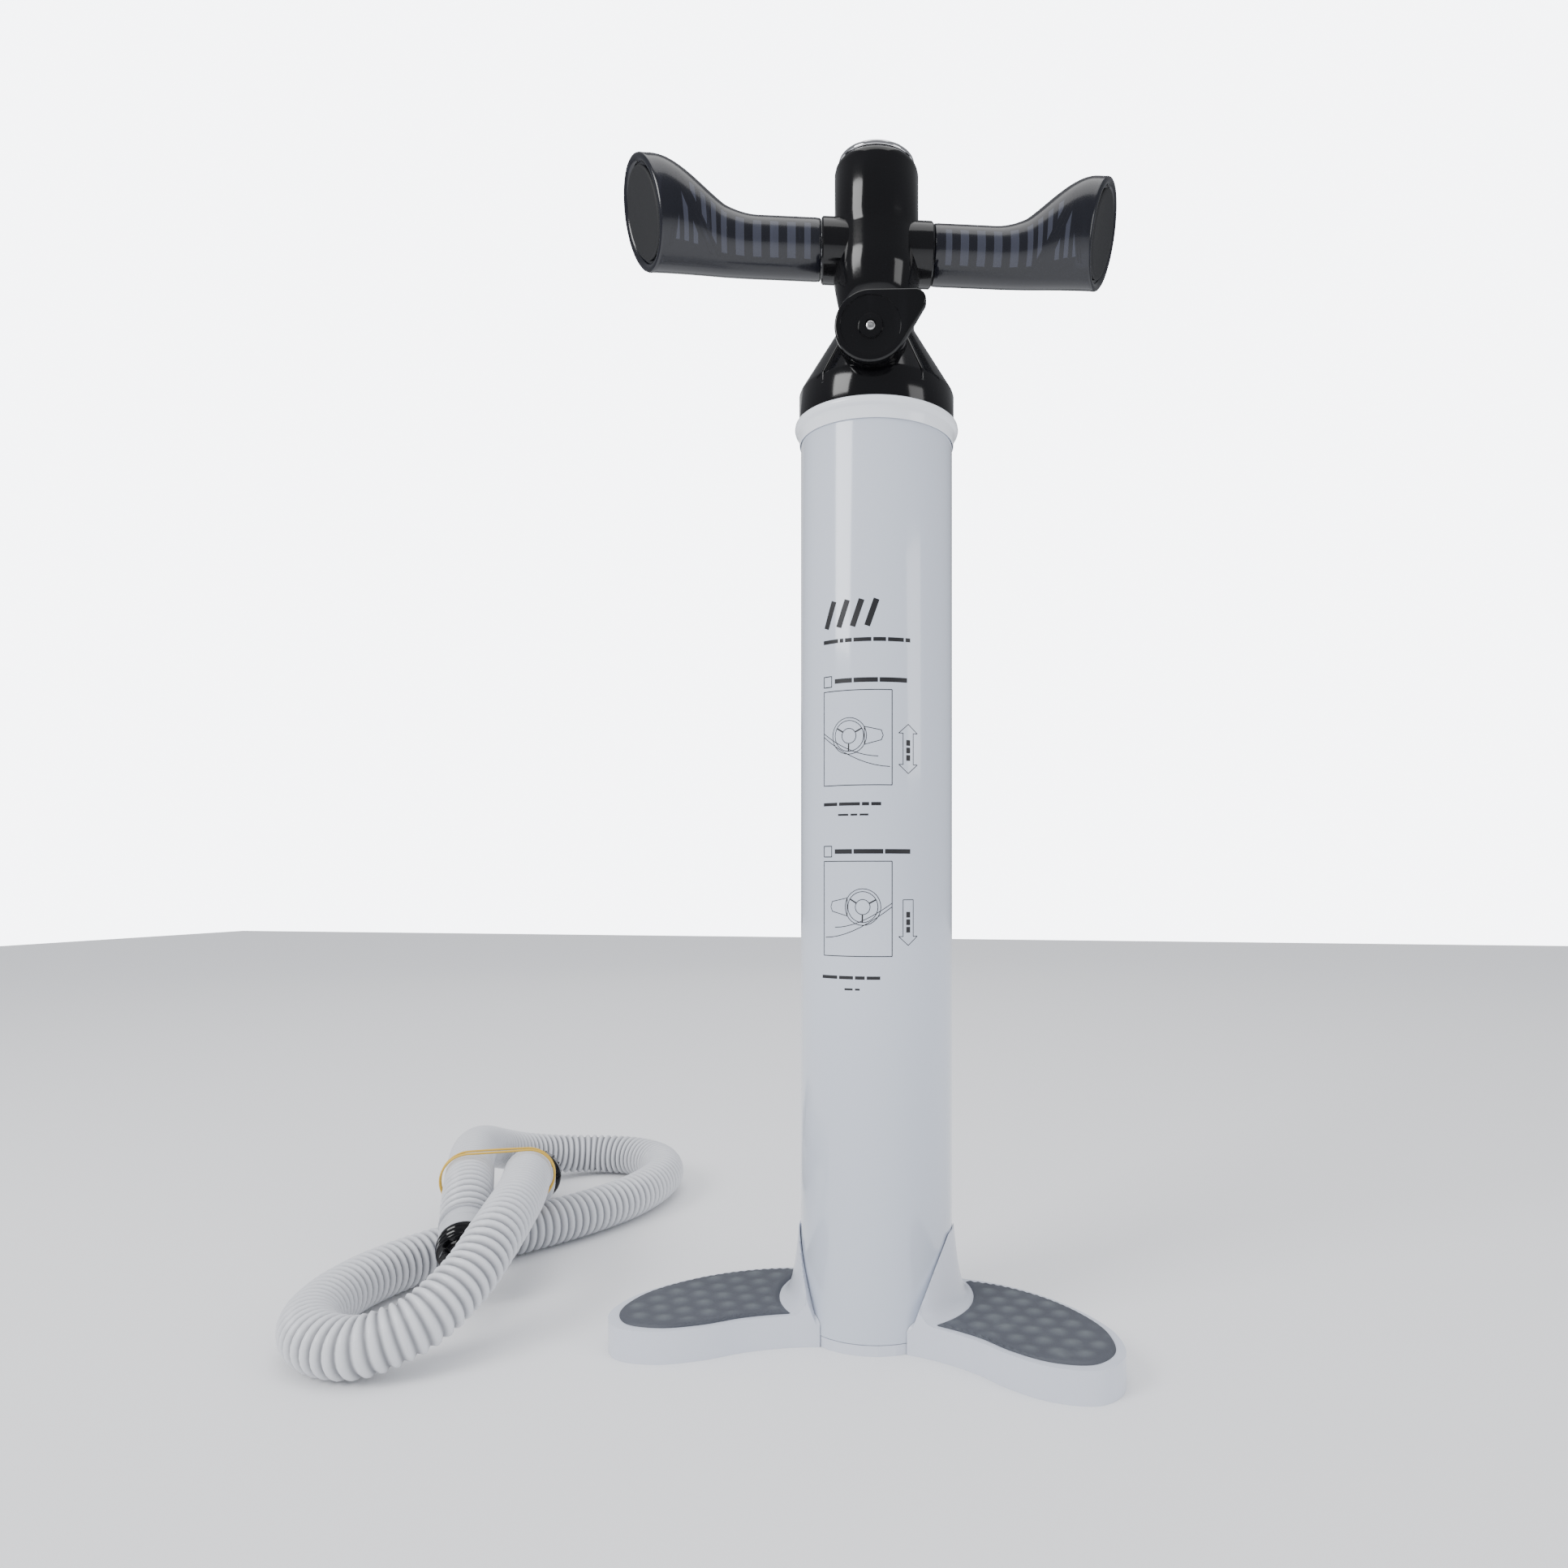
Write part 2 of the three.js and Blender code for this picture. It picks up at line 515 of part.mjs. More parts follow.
const head = new THREE.Group();
head.rotation.z = THREE.MathUtils.degToRad(HEAD_TURN);
addCap(head);
addSelector(head);
pump.add(head);

const handle = new THREE.Group();
handle.rotation.z = THREE.MathUtils.degToRad(HANDLE_TURN);
addHandle(handle);
addGauge(handle);
pump.add(handle);

const hose = new THREE.Group();
hose.position.set(HOSE.x, HOSE.y, 0);
hose.rotation.z = THREE.MathUtils.degToRad(HOSE.turn);
addHose(hose);
addBands(hose);
pump.add(hose);

export default pump;
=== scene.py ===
"""Double action hand pump with its loose corrugated hose, dressed for looks over the fixed CAD frame.

Lengths inside the forms are in millimetres, in the CAD's own frame: +Z up the barrel, -Y to the front.
"""
from __future__ import annotations

import json
import logging
import math
from dataclasses import dataclass, field
from enum import Enum
from typing import Callable, Iterable, Sequence

import bmesh
import bpy
from mathutils import Matrix, Quaternion, Vector

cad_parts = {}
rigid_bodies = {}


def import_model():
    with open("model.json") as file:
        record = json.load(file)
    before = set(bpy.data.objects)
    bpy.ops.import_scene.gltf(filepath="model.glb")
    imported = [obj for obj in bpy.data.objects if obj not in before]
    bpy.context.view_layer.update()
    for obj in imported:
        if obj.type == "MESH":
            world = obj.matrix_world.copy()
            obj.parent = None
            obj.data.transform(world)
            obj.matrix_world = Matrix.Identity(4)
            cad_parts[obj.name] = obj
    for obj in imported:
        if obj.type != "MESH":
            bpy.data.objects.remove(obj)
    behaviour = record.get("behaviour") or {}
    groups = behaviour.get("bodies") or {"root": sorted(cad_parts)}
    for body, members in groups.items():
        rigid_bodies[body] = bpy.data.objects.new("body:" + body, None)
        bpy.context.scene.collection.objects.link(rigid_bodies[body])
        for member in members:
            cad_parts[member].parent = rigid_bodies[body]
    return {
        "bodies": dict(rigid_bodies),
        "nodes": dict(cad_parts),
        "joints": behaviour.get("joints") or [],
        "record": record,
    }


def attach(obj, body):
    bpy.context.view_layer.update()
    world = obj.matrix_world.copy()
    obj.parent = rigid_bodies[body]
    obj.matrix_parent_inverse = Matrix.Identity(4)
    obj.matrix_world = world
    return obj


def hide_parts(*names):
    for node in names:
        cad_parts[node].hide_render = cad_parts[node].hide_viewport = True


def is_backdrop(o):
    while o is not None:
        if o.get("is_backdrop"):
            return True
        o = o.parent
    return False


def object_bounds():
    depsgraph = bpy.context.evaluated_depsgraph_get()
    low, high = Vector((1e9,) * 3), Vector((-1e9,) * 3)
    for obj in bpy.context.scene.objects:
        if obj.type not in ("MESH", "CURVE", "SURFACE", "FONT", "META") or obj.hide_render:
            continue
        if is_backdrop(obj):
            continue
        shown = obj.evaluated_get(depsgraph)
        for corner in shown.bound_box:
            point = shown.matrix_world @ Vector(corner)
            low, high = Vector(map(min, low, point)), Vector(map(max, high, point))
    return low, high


LOG = logging.getLogger("pump")
METRE = 0.001  # a millimetre, in metres
TWIN = 1e-4  # points this near, in millimetres, are one
SPECK = 1e-5  # an edge this short has no length
SLIVER = 0.005  # points this near are merged after a cut
SMALL_HOLE = 8  # the most sides of a hole that a cut leaves
Point = tuple[float, float]
Spot = tuple[float, float, float]
Colour = tuple[float, float, float]
Place = Callable[[float, float], Vector]
MADE: dict[str, bpy.types.Material] = {}


class Body(Enum):
    """The parts of the pump that move as one."""

    BARREL = "barrel"
    SELECTOR = "selector"
    PISTON = "piston"
    HANDLE = "handle"
    NEEDLE = "needle"
    NUT = "nut"


class Side(Enum):
    """The two halves of a piece that comes in a right and a left hand."""

    RIGHT = 1
    LEFT = -1

    @property
    def word(self) -> str:
        """The side's name as the CAD nodes spell it."""
        return self.name.lower()


# ---------------------------------------------------------------- forms


class Form:
    """A mesh in the making, in millimetres."""

    def __init__(self) -> None:
        """Starts an empty form with a UV map."""
        self.mesh = bmesh.new()
        self.uv = self.mesh.loops.layers.uv.new("UVMap")

    @classmethod
    def turned(cls, profile: Sequence[Point], steps: int = 96) -> Form:
        """Spins a closed line of (radius, height) points about Z.

        Args:
            profile: The points, from the axis or in a closed loop.
            steps: How many facets the full turn has.

        Returns:
            The turned form.
        """
        form = cls()
        points = [form.mesh.verts.new((r, 0, z)) for r, z in profile]
        edges = [form.mesh.edges.new(pair) for pair in zip(points, points[1:])]
        if profile[0][0] > 1e-6:
            edges.append(form.mesh.edges.new((points[-1], points[0])))
        bmesh.ops.spin(form.mesh, geom=points + edges, cent=(0, 0, 0), axis=(0, 0, 1), dvec=(0, 0, 0),
                       angle=math.tau, steps=steps, use_merge=True, use_duplicate=False)
        return form.closed()

    @classmethod
    def drum(cls, radius: float, low: float, high: float, steps: int = 64) -> Form:
        """A solid cylinder on Z.

        Args:
            radius: The cylinder's radius.
            low: The height of its foot.
            high: The height of its top.
            steps: How many facets the full turn has.

        Returns:
            The cylinder.
        """
        form = cls()
        bmesh.ops.create_cone(form.mesh, cap_ends=True, cap_tris=False, segments=steps, radius1=radius,
                              radius2=radius, depth=high - low,
                              matrix=Matrix.Translation((0, 0, (low + high) / 2)))
        return form

    @classmethod
    def block(cls, low: Sequence[float], high: Sequence[float]) -> Form:
        """A box between its lowest and highest corners.

        Args:
            low: The lowest corner.
            high: The highest corner.

        Returns:
            The box.
        """
        form = cls()
        size = [b - a for a, b in zip(low, high)]
        centre = [(a + b) / 2 for a, b in zip(low, high)]
        bmesh.ops.create_cube(form.mesh, size=1, matrix=Matrix.Translation(centre) @ Matrix.Diagonal((*size, 1)))
        return form

    @classmethod
    def slab(cls, outline: Sequence[Point], low: float, high: float) -> Form:
        """A flat outline given a height.

        Args:
            outline: The outline's points, in order.
            low: The height of its underside.
            high: The height of its top.

        Returns:
            The slab.
        """
        form = cls()
        face = form.mesh.faces.new([form.mesh.verts.new((x, y, low)) for x, y in outline])
        top = bmesh.ops.extrude_face_region(form.mesh, geom=[face])["geom"]
        raised = [item for item in top if isinstance(item, bmesh.types.BMVert)]
        bmesh.ops.translate(form.mesh, verts=raised, vec=(0, 0, high - low))
        return form.closed()

    @classmethod
    def draped(cls, along: int, around: int, place: Place) -> Form:
        """Lays a grid on a surface.

        Args:
            along: Faces in the first direction.
            around: Faces in the second direction.
            place: The point for each pair of shares from 0 to 1.

        Returns:
            The surface, with the shares as its UV map and meeting edges merged.
        """
        form = cls()
        bmesh.ops.create_grid(form.mesh, x_segments=along, y_segments=around, size=0.5, calc_uvs=True)
        for vertex in form.mesh.verts:
            vertex.co = place(vertex.co.x + 0.5, vertex.co.y + 0.5)
        return form.closed()

    def closed(self) -> Form:
        """Merges doubles and points the faces outwards.

        Returns:
            This form.
        """
        bmesh.ops.remove_doubles(self.mesh, verts=self.mesh.verts, dist=TWIN)
        bmesh.ops.dissolve_degenerate(self.mesh, edges=self.mesh.edges, dist=SPECK)
        bmesh.ops.recalc_face_normals(self.mesh, faces=self.mesh.faces)
        return self

    def capped(self) -> Form:
        """Fills the open ends."""
        bmesh.ops.holes_fill(self.mesh, edges=[e for e in self.mesh.edges if e.is_boundary], sides=0)
        return self.closed()

    def softened(self, width: float, segments: int = 3, sharper: float = 28) -> Form:
        """Rounds every edge that is sharper than an angle in degrees.

        Args:
            width: How far the rounding reaches.
            segments: How many steps it has.
            sharper: The angle in degrees.

        Returns:
            This form.
        """
        limit = math.radians(sharper)
        sharp = [e for e in self.mesh.edges if e.is_manifold and e.calc_face_angle(0) > limit]
        bmesh.ops.bevel(self.mesh, geom=sharp, offset=width, offset_type="OFFSET", affect="EDGES",
                        segments=segments, profile=0.5, material=-1, clamp_overlap=True)
        return self

    def moved(self, matrix: Matrix) -> Form:
        """Places the form, and keeps its faces outwards.

        Args:
            matrix: The place, which may mirror.

        Returns:
            This form.
        """
        bmesh.ops.transform(self.mesh, matrix=matrix, verts=self.mesh.verts)
        if matrix.determinant() < 0:
            bmesh.ops.reverse_faces(self.mesh, faces=self.mesh.faces)
        return self

    def joined(self, *others: Form) -> Form:
        """Takes in other forms as loose shells of the same piece.

        Args:
            others: The forms to take in.

        Returns:
            This form.
        """
        for other in others:
            extra = bpy.data.meshes.new("extra")
            other.mesh.to_mesh(extra)
            self.mesh.from_mesh(extra)
            bpy.data.meshes.remove(extra)
        return self

    def carved(self, *cutters: Form, keep: bool = False) -> Form:
        """Cuts other forms away, or adds them when keep is true.

        Args:
            cutters: The other forms.
            keep: True to add them.

        Returns:
            This form, with the cutters' slivers merged and their small holes filled.
        """
        target = self.thing("target")
        rests = []
        for cutter in cutters:
            tool = cutter.thing("tool")
            step = target.modifiers.new("carve", "BOOLEAN")
            step.operation = "UNION" if keep else "DIFFERENCE"
            step.solver = "EXACT"
            step.object = tool
            rests.append(tool)
        view = bpy.context.evaluated_depsgraph_get()
        shape = bpy.data.meshes.new_from_object(target.evaluated_get(view))
        self.mesh.clear()
        self.mesh.from_mesh(shape)
        for rest in [target, *rests]:
            old = rest.data
            bpy.data.objects.remove(rest)
            bpy.data.meshes.remove(old)
        bpy.data.meshes.remove(shape)
        bmesh.ops.remove_doubles(self.mesh, verts=self.mesh.verts, dist=SLIVER)
        open_edges = [edge for edge in self.mesh.edges if edge.is_boundary]
        bmesh.ops.holes_fill(self.mesh, edges=open_edges, sides=SMALL_HOLE)
        return self

    def thing(self, name: str, scale: float = 1.0) -> bpy.types.Object:
        """An object of this mesh, linked to the scene.

        Args:
            name: The object's name.
            scale: What its lengths are multiplied by.

        Returns:
            The object.
        """
        data = bpy.data.meshes.new(name)
        if scale != 1.0:
            bmesh.ops.scale(self.mesh, vec=(scale, scale, scale), verts=self.mesh.verts)
        self.mesh.to_mesh(data)
        made = bpy.data.objects.new(name, data)
        bpy.context.scene.collection.objects.link(made)
        return made

    def piece(self, name: str, finish: Finish, body: Body, *nodes: str, crease: float = 32) -> bpy.types.Object:
        """Finishes the form as a dressed piece that rides on a body.

        Args:
            name: The piece's name.
            finish: What it is made of.
            body: What it moves with.
            nodes: The CAD nodes that it stands for.
            crease: The angle in degrees past which an edge shades sharp.

        Returns:
            The object, at the origin, in metres.
        """
        limit = math.radians(crease)
        for face in self.mesh.faces:
            face.smooth = True
        for edge in self.mesh.edges:
            edge.smooth = not edge.is_manifold or edge.calc_face_angle(0) < limit
        made = self.thing(name, METRE)
        made.data.materials.append(finish.material())
        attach(made, body.value)
        if nodes:
            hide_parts(*nodes)
        LOG.info("%s: %d faces, on %s", name, len(made.data.polygons), body.value)
        return made


TO_RIGHT = Matrix.Rotation(math.pi / 2, 4, "Y")
TO_BACK = Matrix.Rotation(-math.pi / 2, 4, "X")
TO_FRONT = Matrix.Rotation(math.pi / 2, 4, "X")
MIRROR = Matrix.Diagonal((-1, 1, 1, 1))


def up(height: float) -> Matrix:
    """A lift along Z."""
    return Matrix.Translation((0, 0, height))


def spline(points: Sequence[Sequence[float]], steps: int) -> list[Vector]:
    """A centripetal curve through points.

    Args:
        points: The points, in two or three dimensions.
        steps: How many steps each span gets.

    Returns:
        The points of the curve, the given ones among them.
    """
    knots = [Vector(p) for p in points]
    knots = [2 * knots[0] - knots[1], *knots, 2 * knots[-1] - knots[-2]]
    line = [knots[1].copy()]
    for a, b, c, d in zip(knots, knots[1:], knots[2:], knots[3:]):
        da, db, dc = ((q - p).length ** 0.5 for p, q in ((a, b), (b, c), (c, d)))
        start = ((b - a) / da - (c - a) / (da + db) + (c - b) / db) * db
        stop = ((c - b) / db - (d - b) / (db + dc) + (d - c) / dc) * db
        for i in range(1, steps + 1):
            t = i / steps
            line.append(b + start * t + (3 * c - 3 * b - 2 * start - stop) * t**2
                        + (2 * b - 2 * c + start + stop) * t**3)
    return line


def evened(line: Sequence[Vector], count: int) -> list[Vector]:
    """The same line with its points at even distances.

    Args:
        line: The points of the line.
        count: How many steps it is given.

    Returns:
        The points, one more than the steps.
    """
    travelled = [0.0]
    for a, b in zip(line, line[1:]):
        travelled.append(travelled[-1] + (b - a).length)
    out, span = [], 0
    for i in range(count + 1):
        goal = travelled[-1] * i / count
        while span < len(line) - 2 and travelled[span + 1] < goal:
            span += 1
        step = travelled[span + 1] - travelled[span]
        out.append(line[span].lerp(line[span + 1], (goal - travelled[span]) / step if step else 0))
    return out


# ---------------------------------------------------------------- finishes


class Nodes:
    """A small hand for wiring a node tree."""

    def __init__(self, tree: bpy.types.NodeTree) -> None:
        """Takes the tree to work in."""
        self.tree = tree

    def add(self, kind: str, **values: object) -> bpy.types.Node:
        """Adds a node and sets its properties.

        Args:
            kind: The node's type.
            values: Its properties.

        Returns:
            The node.
        """
        node = self.tree.nodes.new(kind)
        for name, value in values.items():
            setattr(node, name, value)
        return node

    def feed(self, socket: bpy.types.NodeSocket, source: object) -> None:
        """Links a socket to another, or gives it a number or a colour.

        Args:
            socket: The socket to feed.
            source: Another socket, a number or a colour.
        """
        if isinstance(source, bpy.types.NodeSocket):
            self.tree.links.new(source, socket)
        else:
            socket.default_value = source

    def math(self, operation: str, *sources: object, clamp: bool = False) -> bpy.types.NodeSocket:
        """The outcome of one sum.

        Args:
            operation: The sum's name.
            sources: Sockets or numbers.
            clamp: True to keep the outcome from 0 to 1.

        Returns:
            The outcome's socket.
        """
        node = self.add("ShaderNodeMath", operation=operation, use_clamp=clamp)
        for socket, source in zip(node.inputs, sources):
            self.feed(socket, source)
        return node.outputs[0]

    def noise(self, vector: object, scale: object, detail: float = 3.0) -> bpy.types.NodeSocket:
        """A grey noise.

        Args:
            vector: Where it is read.
            scale: How fine it is.
            detail: Its octaves.

        Returns:
            The noise's socket.
        """
        node = self.add("ShaderNodeTexNoise")
        self.feed(node.inputs["Vector"], vector)
        self.feed(node.inputs["Scale"], scale)
        node.inputs["Detail"].default_value = detail
        return node.outputs[0]

    def blend(self, share: object, first: object, second: object) -> bpy.types.NodeSocket:
        """A mix of two colours.

        Args:
            share: How much of the second.
            first: The first colour.
            second: The second colour.

        Returns:
            The mix's socket.
        """
        node = self.add("ShaderNodeMix", data_type="RGBA")
        for index, source in ((0, share), (6, first), (7, second)):
            self.feed(node.inputs[index], source)
        return node.outputs[2]

    def relief(self, height: object, depth: object, below: object = None) -> bpy.types.NodeSocket:
        """A normal from a height.

        Args:
            height: The height, from 0 to 1.
            depth: What a height of 1 is, in metres.
            below: The normal that this one lies on.

        Returns:
            The normal's socket.
        """
        node = self.add("ShaderNodeBump")
        self.feed(node.inputs["Height"], height)
        self.feed(node.inputs["Distance"], depth)
        if below is not None:
            self.feed(node.inputs["Normal"], below)
        return node.outputs[0]


def group_tree(name: str, takes: Sequence[tuple[str, str]], gives: Sequence[tuple[str, str]]
               ) -> tuple[bpy.types.NodeTree, Nodes, bpy.types.NodeOutputs, bpy.types.Node]:
    """Starts a node group.

    Args:
        name: The group's name.
        takes: The names and kinds of its inputs.
        gives: The names and kinds of its outputs.

    Returns:
        The tree, its wiring hand, its inputs by name and its output node.
    """
    tree = bpy.data.node_groups.new(name, "ShaderNodeTree")
    for way, sockets in (("INPUT", takes), ("OUTPUT", gives)):
        for label, kind in sockets:
            tree.interface.new_socket(name=label, in_out=way, socket_type=f"NodeSocket{kind}")
    hand = Nodes(tree)
    return tree, hand, hand.add("NodeGroupInput").outputs, hand.add("NodeGroupOutput")


def moulded_group() -> bpy.types.NodeTree:
    """The surface of a moulded piece: cloudy tone, uneven gloss, fine grain, scuffs and an optional relief.

    Returns:
        The node group, built once.
    """
    name = "moulded_surface"
    if name in bpy.data.node_groups:
        return bpy.data.node_groups[name]
    takes = [("Vector", "Vector"), ("Colour", "Color"), ("Second colour", "Color"), ("Mask", "Float"),
             ("Cloud scale", "Float"), ("Cloud share", "Float"), ("Roughness", "Float"),
             ("Roughness spread", "Float"), ("Grain scale", "Float"), ("Grain depth", "Float"),
             ("Relief", "Float"), ("Relief depth", "Float")]
    gives = [("Colour", "Color"), ("Roughness", "Float"), ("Normal", "Vector")]
    tree, hand, given, out = group_tree(name, takes, gives)
    cloud = hand.noise(given["Vector"], given["Cloud scale"], 4.0)
    share = hand.math("MULTIPLY", cloud, given["Cloud share"])
    mixed = hand.math("ADD", share, given["Mask"], clamp=True)
    tone = hand.blend(mixed, given["Colour"], given["Second colour"])
    swing = hand.math("MULTIPLY", hand.math("SUBTRACT", cloud, 0.5), given["Roughness spread"])
    gloss = hand.math("ADD", given["Roughness"], swing)
    gloss = hand.math("ADD", gloss, hand.math("MULTIPLY", given["Mask"], 0.08), clamp=True)
    grain = hand.relief(hand.noise(given["Vector"], given["Grain scale"], 2.0), given["Grain depth"])
    normal = hand.relief(given["Relief"], given["Relief depth"], grain)
    for socket, source in zip(out.inputs, (tone, gloss, normal)):
        hand.feed(socket, source)
    return tree


def scuff_group() -> bpy.types.NodeTree:
    """Thin, short scratches and specks of dust, as a mask.

    Returns:
        The node group, built once.
    """
    name = "scuffs"
    if name in bpy.data.node_groups:
        return bpy.data.node_groups[name]
    takes = [("Vector", "Vector"), ("Scale", "Float"), ("Amount", "Float")]
    tree, hand, given, out = group_tree(name, takes, [("Mask", "Float")])
    stretch = hand.add("ShaderNodeMapping")
    stretch.inputs["Scale"].default_value = (1.0, 1.0, 0.14)
    stretch.inputs["Rotation"].default_value = (0.3, 0.2, 0.0)
    hand.feed(stretch.inputs["Vector"], given["Vector"])
    lines = hand.noise(stretch.outputs[0], given["Scale"], 5.0)
    patches = hand.noise(given["Vector"], 9.0, 2.0)
    thin = hand.math("MULTIPLY", hand.math("SUBTRACT", lines, 0.6), 9.0, clamp=True)
    where = hand.math("MULTIPLY", hand.math("SUBTRACT", patches, 0.5), 5.0, clamp=True)
    hand.feed(out.inputs[0], hand.math("MULTIPLY", hand.math("MULTIPLY", thin, where), given["Amount"]))
    return tree


@dataclass(frozen=True)
class Finish:
    """A moulded plastic or rubber."""

    name: str
    slot: str | None
    colour: Colour
    second: Colour
    roughness: float
    spread: float = 0.12
    metallic: float = 0.0
    coat: float = 0.0
    specular: float = 0.5
    cloud: float = 14.0
    clouding: float = 0.5
    grain: float = 900.0
    grain_depth: float = 0.00002
    scuffs: float = 0.15
    relief_depth: float = 0.0004

    def relief(self, hand: Nodes) -> tuple[object, object]:
        """The pattern's colour mask and height, which a plain finish has none of."""
        return None, None

    def material(self) -> bpy.types.Material:
        """Builds the material, once.

        Returns:
            The material under this finish's name.
        """
        if self.name in MADE:
            return MADE[self.name]
        made = MADE[self.name] = bpy.data.materials.new(f"{self.name}_finish")
        made.use_nodes = True
        hand = Nodes(made.node_tree)
        shader = made.node_tree.nodes["Principled BSDF"]
        where = hand.add("ShaderNodeTexCoord").outputs["Object"]
        worn = hand.add("ShaderNodeGroup", node_tree=scuff_group())
        hand.feed(worn.inputs["Vector"], where)
        worn.inputs["Scale"].default_value = 60.0
        worn.inputs["Amount"].default_value = self.scuffs
        skin = hand.add("ShaderNodeGroup", node_tree=moulded_group())
        mask, height = self.relief(hand)
        # scuffs plus the finish's own mask, which for the hose is painted shade in its grooves and for the grips
        # partly painted sheen and painted shade
        marks = worn.outputs[0] if mask is None else hand.math("ADD", worn.outputs[0], mask, clamp=True)
        values = {"Vector": where, "Colour": (*self.colour, 1), "Second colour": (*self.second, 1), "Mask": marks,
                  "Cloud scale": self.cloud, "Cloud share": self.clouding, "Roughness": self.roughness,
                  "Roughness spread": self.spread, "Grain scale": self.grain, "Grain depth": self.grain_depth,
                  "Relief": 0.0 if height is None else height,
                  "Relief depth": 0.0 if height is None else self.relief_depth}
        for label, value in values.items():
            hand.feed(skin.inputs[label], value)
        hand.feed(shader.inputs["Base Color"], skin.outputs["Colour"])
        hand.feed(shader.inputs["Roughness"], skin.outputs["Roughness"])
        hand.feed(shader.inputs["Normal"], skin.outputs["Normal"])
        shader.inputs["Metallic"].default_value = self.metallic
        shader.inputs["Specular IOR Level"].default_value = self.specular
        shader.inputs["Coat Weight"].default_value = self.coat
        shader.inputs["Coat Roughness"].default_value = 0.06
        self.extra(shader)
        return made

    def extra(self, shader: bpy.types.Node) -> None:
        """Sets what only some finishes need; a plain one needs nothing."""


@dataclass(frozen=True)
class GrooveShadedPlastic(Finish):
    """The hose's plastic, with painted shade down between its ribs."""

    ribs: int = 200

    def relief(self, hand: Nodes) -> tuple[object, object]:
        """Paints shade into the grooves by the piece's own UV map.

        Args:
            hand: The material's wiring hand.

        Returns:
            The painted shade mask of the grooves, and no height.
        """
        along = hand.add("ShaderNodeSeparateXYZ")
        hand.feed(along.inputs[0], hand.add("ShaderNodeUVMap", uv_map="UVMap").outputs[0])
        wave = hand.math("COSINE", hand.math("MULTIPLY", along.outputs[0], math.tau * self.ribs))
        # painted shade: the grooves between the ribs are darkened toward the dark second colour
        groove = hand.math("POWER", hand.math("MULTIPLY_ADD", wave, -0.5, 0.5), 2.2)
        return hand.math("MULTIPLY", groove, 0.85), None


@dataclass(frozen=True)
class TreadRubber(Finish):
    """The foot's tread, with paler domes from the piece's own attribute."""

    def relief(self, hand: Nodes) -> tuple[object, object]:
        """Lightens the domes."""
        domes = hand.add("ShaderNodeAttribute", attribute_name="dome")
        return hand.math("MULTIPLY", domes.outputs["Fac"], 0.75), None


@dataclass(frozen=True)
class EngravedPlastic(Finish):
    """The grips' plastic, with bars and a bent V cut into its sides; the bars are painted paler as a painted sheen
    and the cut lines darker as painted shade.
    """

    apex: float = 0.8
    apex_height: float = 0.52
    outer_slope: float = 10.5
    inner_slope: float = 3.7
    second_line: float = 0.24
    line_width: float = 0.04
    bar_count: float = 12.5

    def relief(self, hand: Nodes) -> tuple[object, object]:
        """Draws the pattern over the share of length and the share of height.

        Args:
            hand: The material's wiring hand.

        Returns:
            The colour mask of the cut lines and bars, partly pattern and partly painted sheen and painted shade, and
            their height.
        """
        split = hand.add("ShaderNodeSeparateXYZ")
        hand.feed(split.inputs[0], hand.add("ShaderNodeUVMap", uv_map="UVMap").outputs[0])
        along, height = split.outputs[0], split.outputs[1]
        rise = hand.math("MULTIPLY_ADD", height, 2.0, -1.0)
        outer_run = hand.math("MAXIMUM", hand.math("SUBTRACT", along, self.apex), 0.0)
        outer = hand.math("MULTIPLY", outer_run, self.outer_slope)
        inner_run = hand.math("MAXIMUM", hand.math("SUBTRACT", self.apex, along), 0.0)
        inner = hand.math("MULTIPLY", hand.math("POWER", inner_run, 0.85), self.inner_slope)
        under = hand.math("SUBTRACT", hand.math("SUBTRACT", self.apex_height, rise), hand.math("ADD", outer, inner))
        edge = self.line(hand, under, 0.0, self.line_width)
        second = self.line(hand, under, self.second_line, self.line_width)
        inside = hand.math("GREATER_THAN", under, 0.46)
        outside = hand.math("MULTIPLY", hand.math("LESS_THAN", under, -0.12), hand.math("LESS_THAN", along, 0.74))
        outside = hand.math("MULTIPLY", outside, hand.math("GREATER_THAN", along, 0.05))
        bars = hand.math("GREATER_THAN", hand.math("FRACT", hand.math("MULTIPLY", along, self.bar_count)), 0.5)
        band = hand.math("MULTIPLY", hand.math("GREATER_THAN", rise, -0.72), hand.math("LESS_THAN", rise, 0.42))
        # the engraved bars, painted paler than the grip as a painted sheen
        plates_and_sheen = hand.math("MULTIPLY", hand.math("MULTIPLY", hand.math("MAXIMUM", inside, outside), bars), band)
        lines = hand.math("MAXIMUM", edge, second)
        low = hand.math("GREATER_THAN", rise, -0.8)
        lines = hand.math("MULTIPLY", lines, low)
        cut = hand.math("ADD", hand.math("MULTIPLY", plates_and_sheen, -0.55), hand.math("MULTIPLY", lines, -1.0))
        # colour: bars painted paler as a painted sheen, cut lines darkened as painted shade
        return hand.math("ADD", hand.math("MULTIPLY", plates_and_sheen, 0.55), hand.math("MULTIPLY", lines, -0.4)), cut

    @staticmethod
    def line(hand: Nodes, value: object, at: float, width: float) -> bpy.types.NodeSocket:
        """One where a value is near a number, else nought."""
        return hand.math("LESS_THAN", hand.math("ABSOLUTE", hand.math("SUBTRACT", value, at)), width)


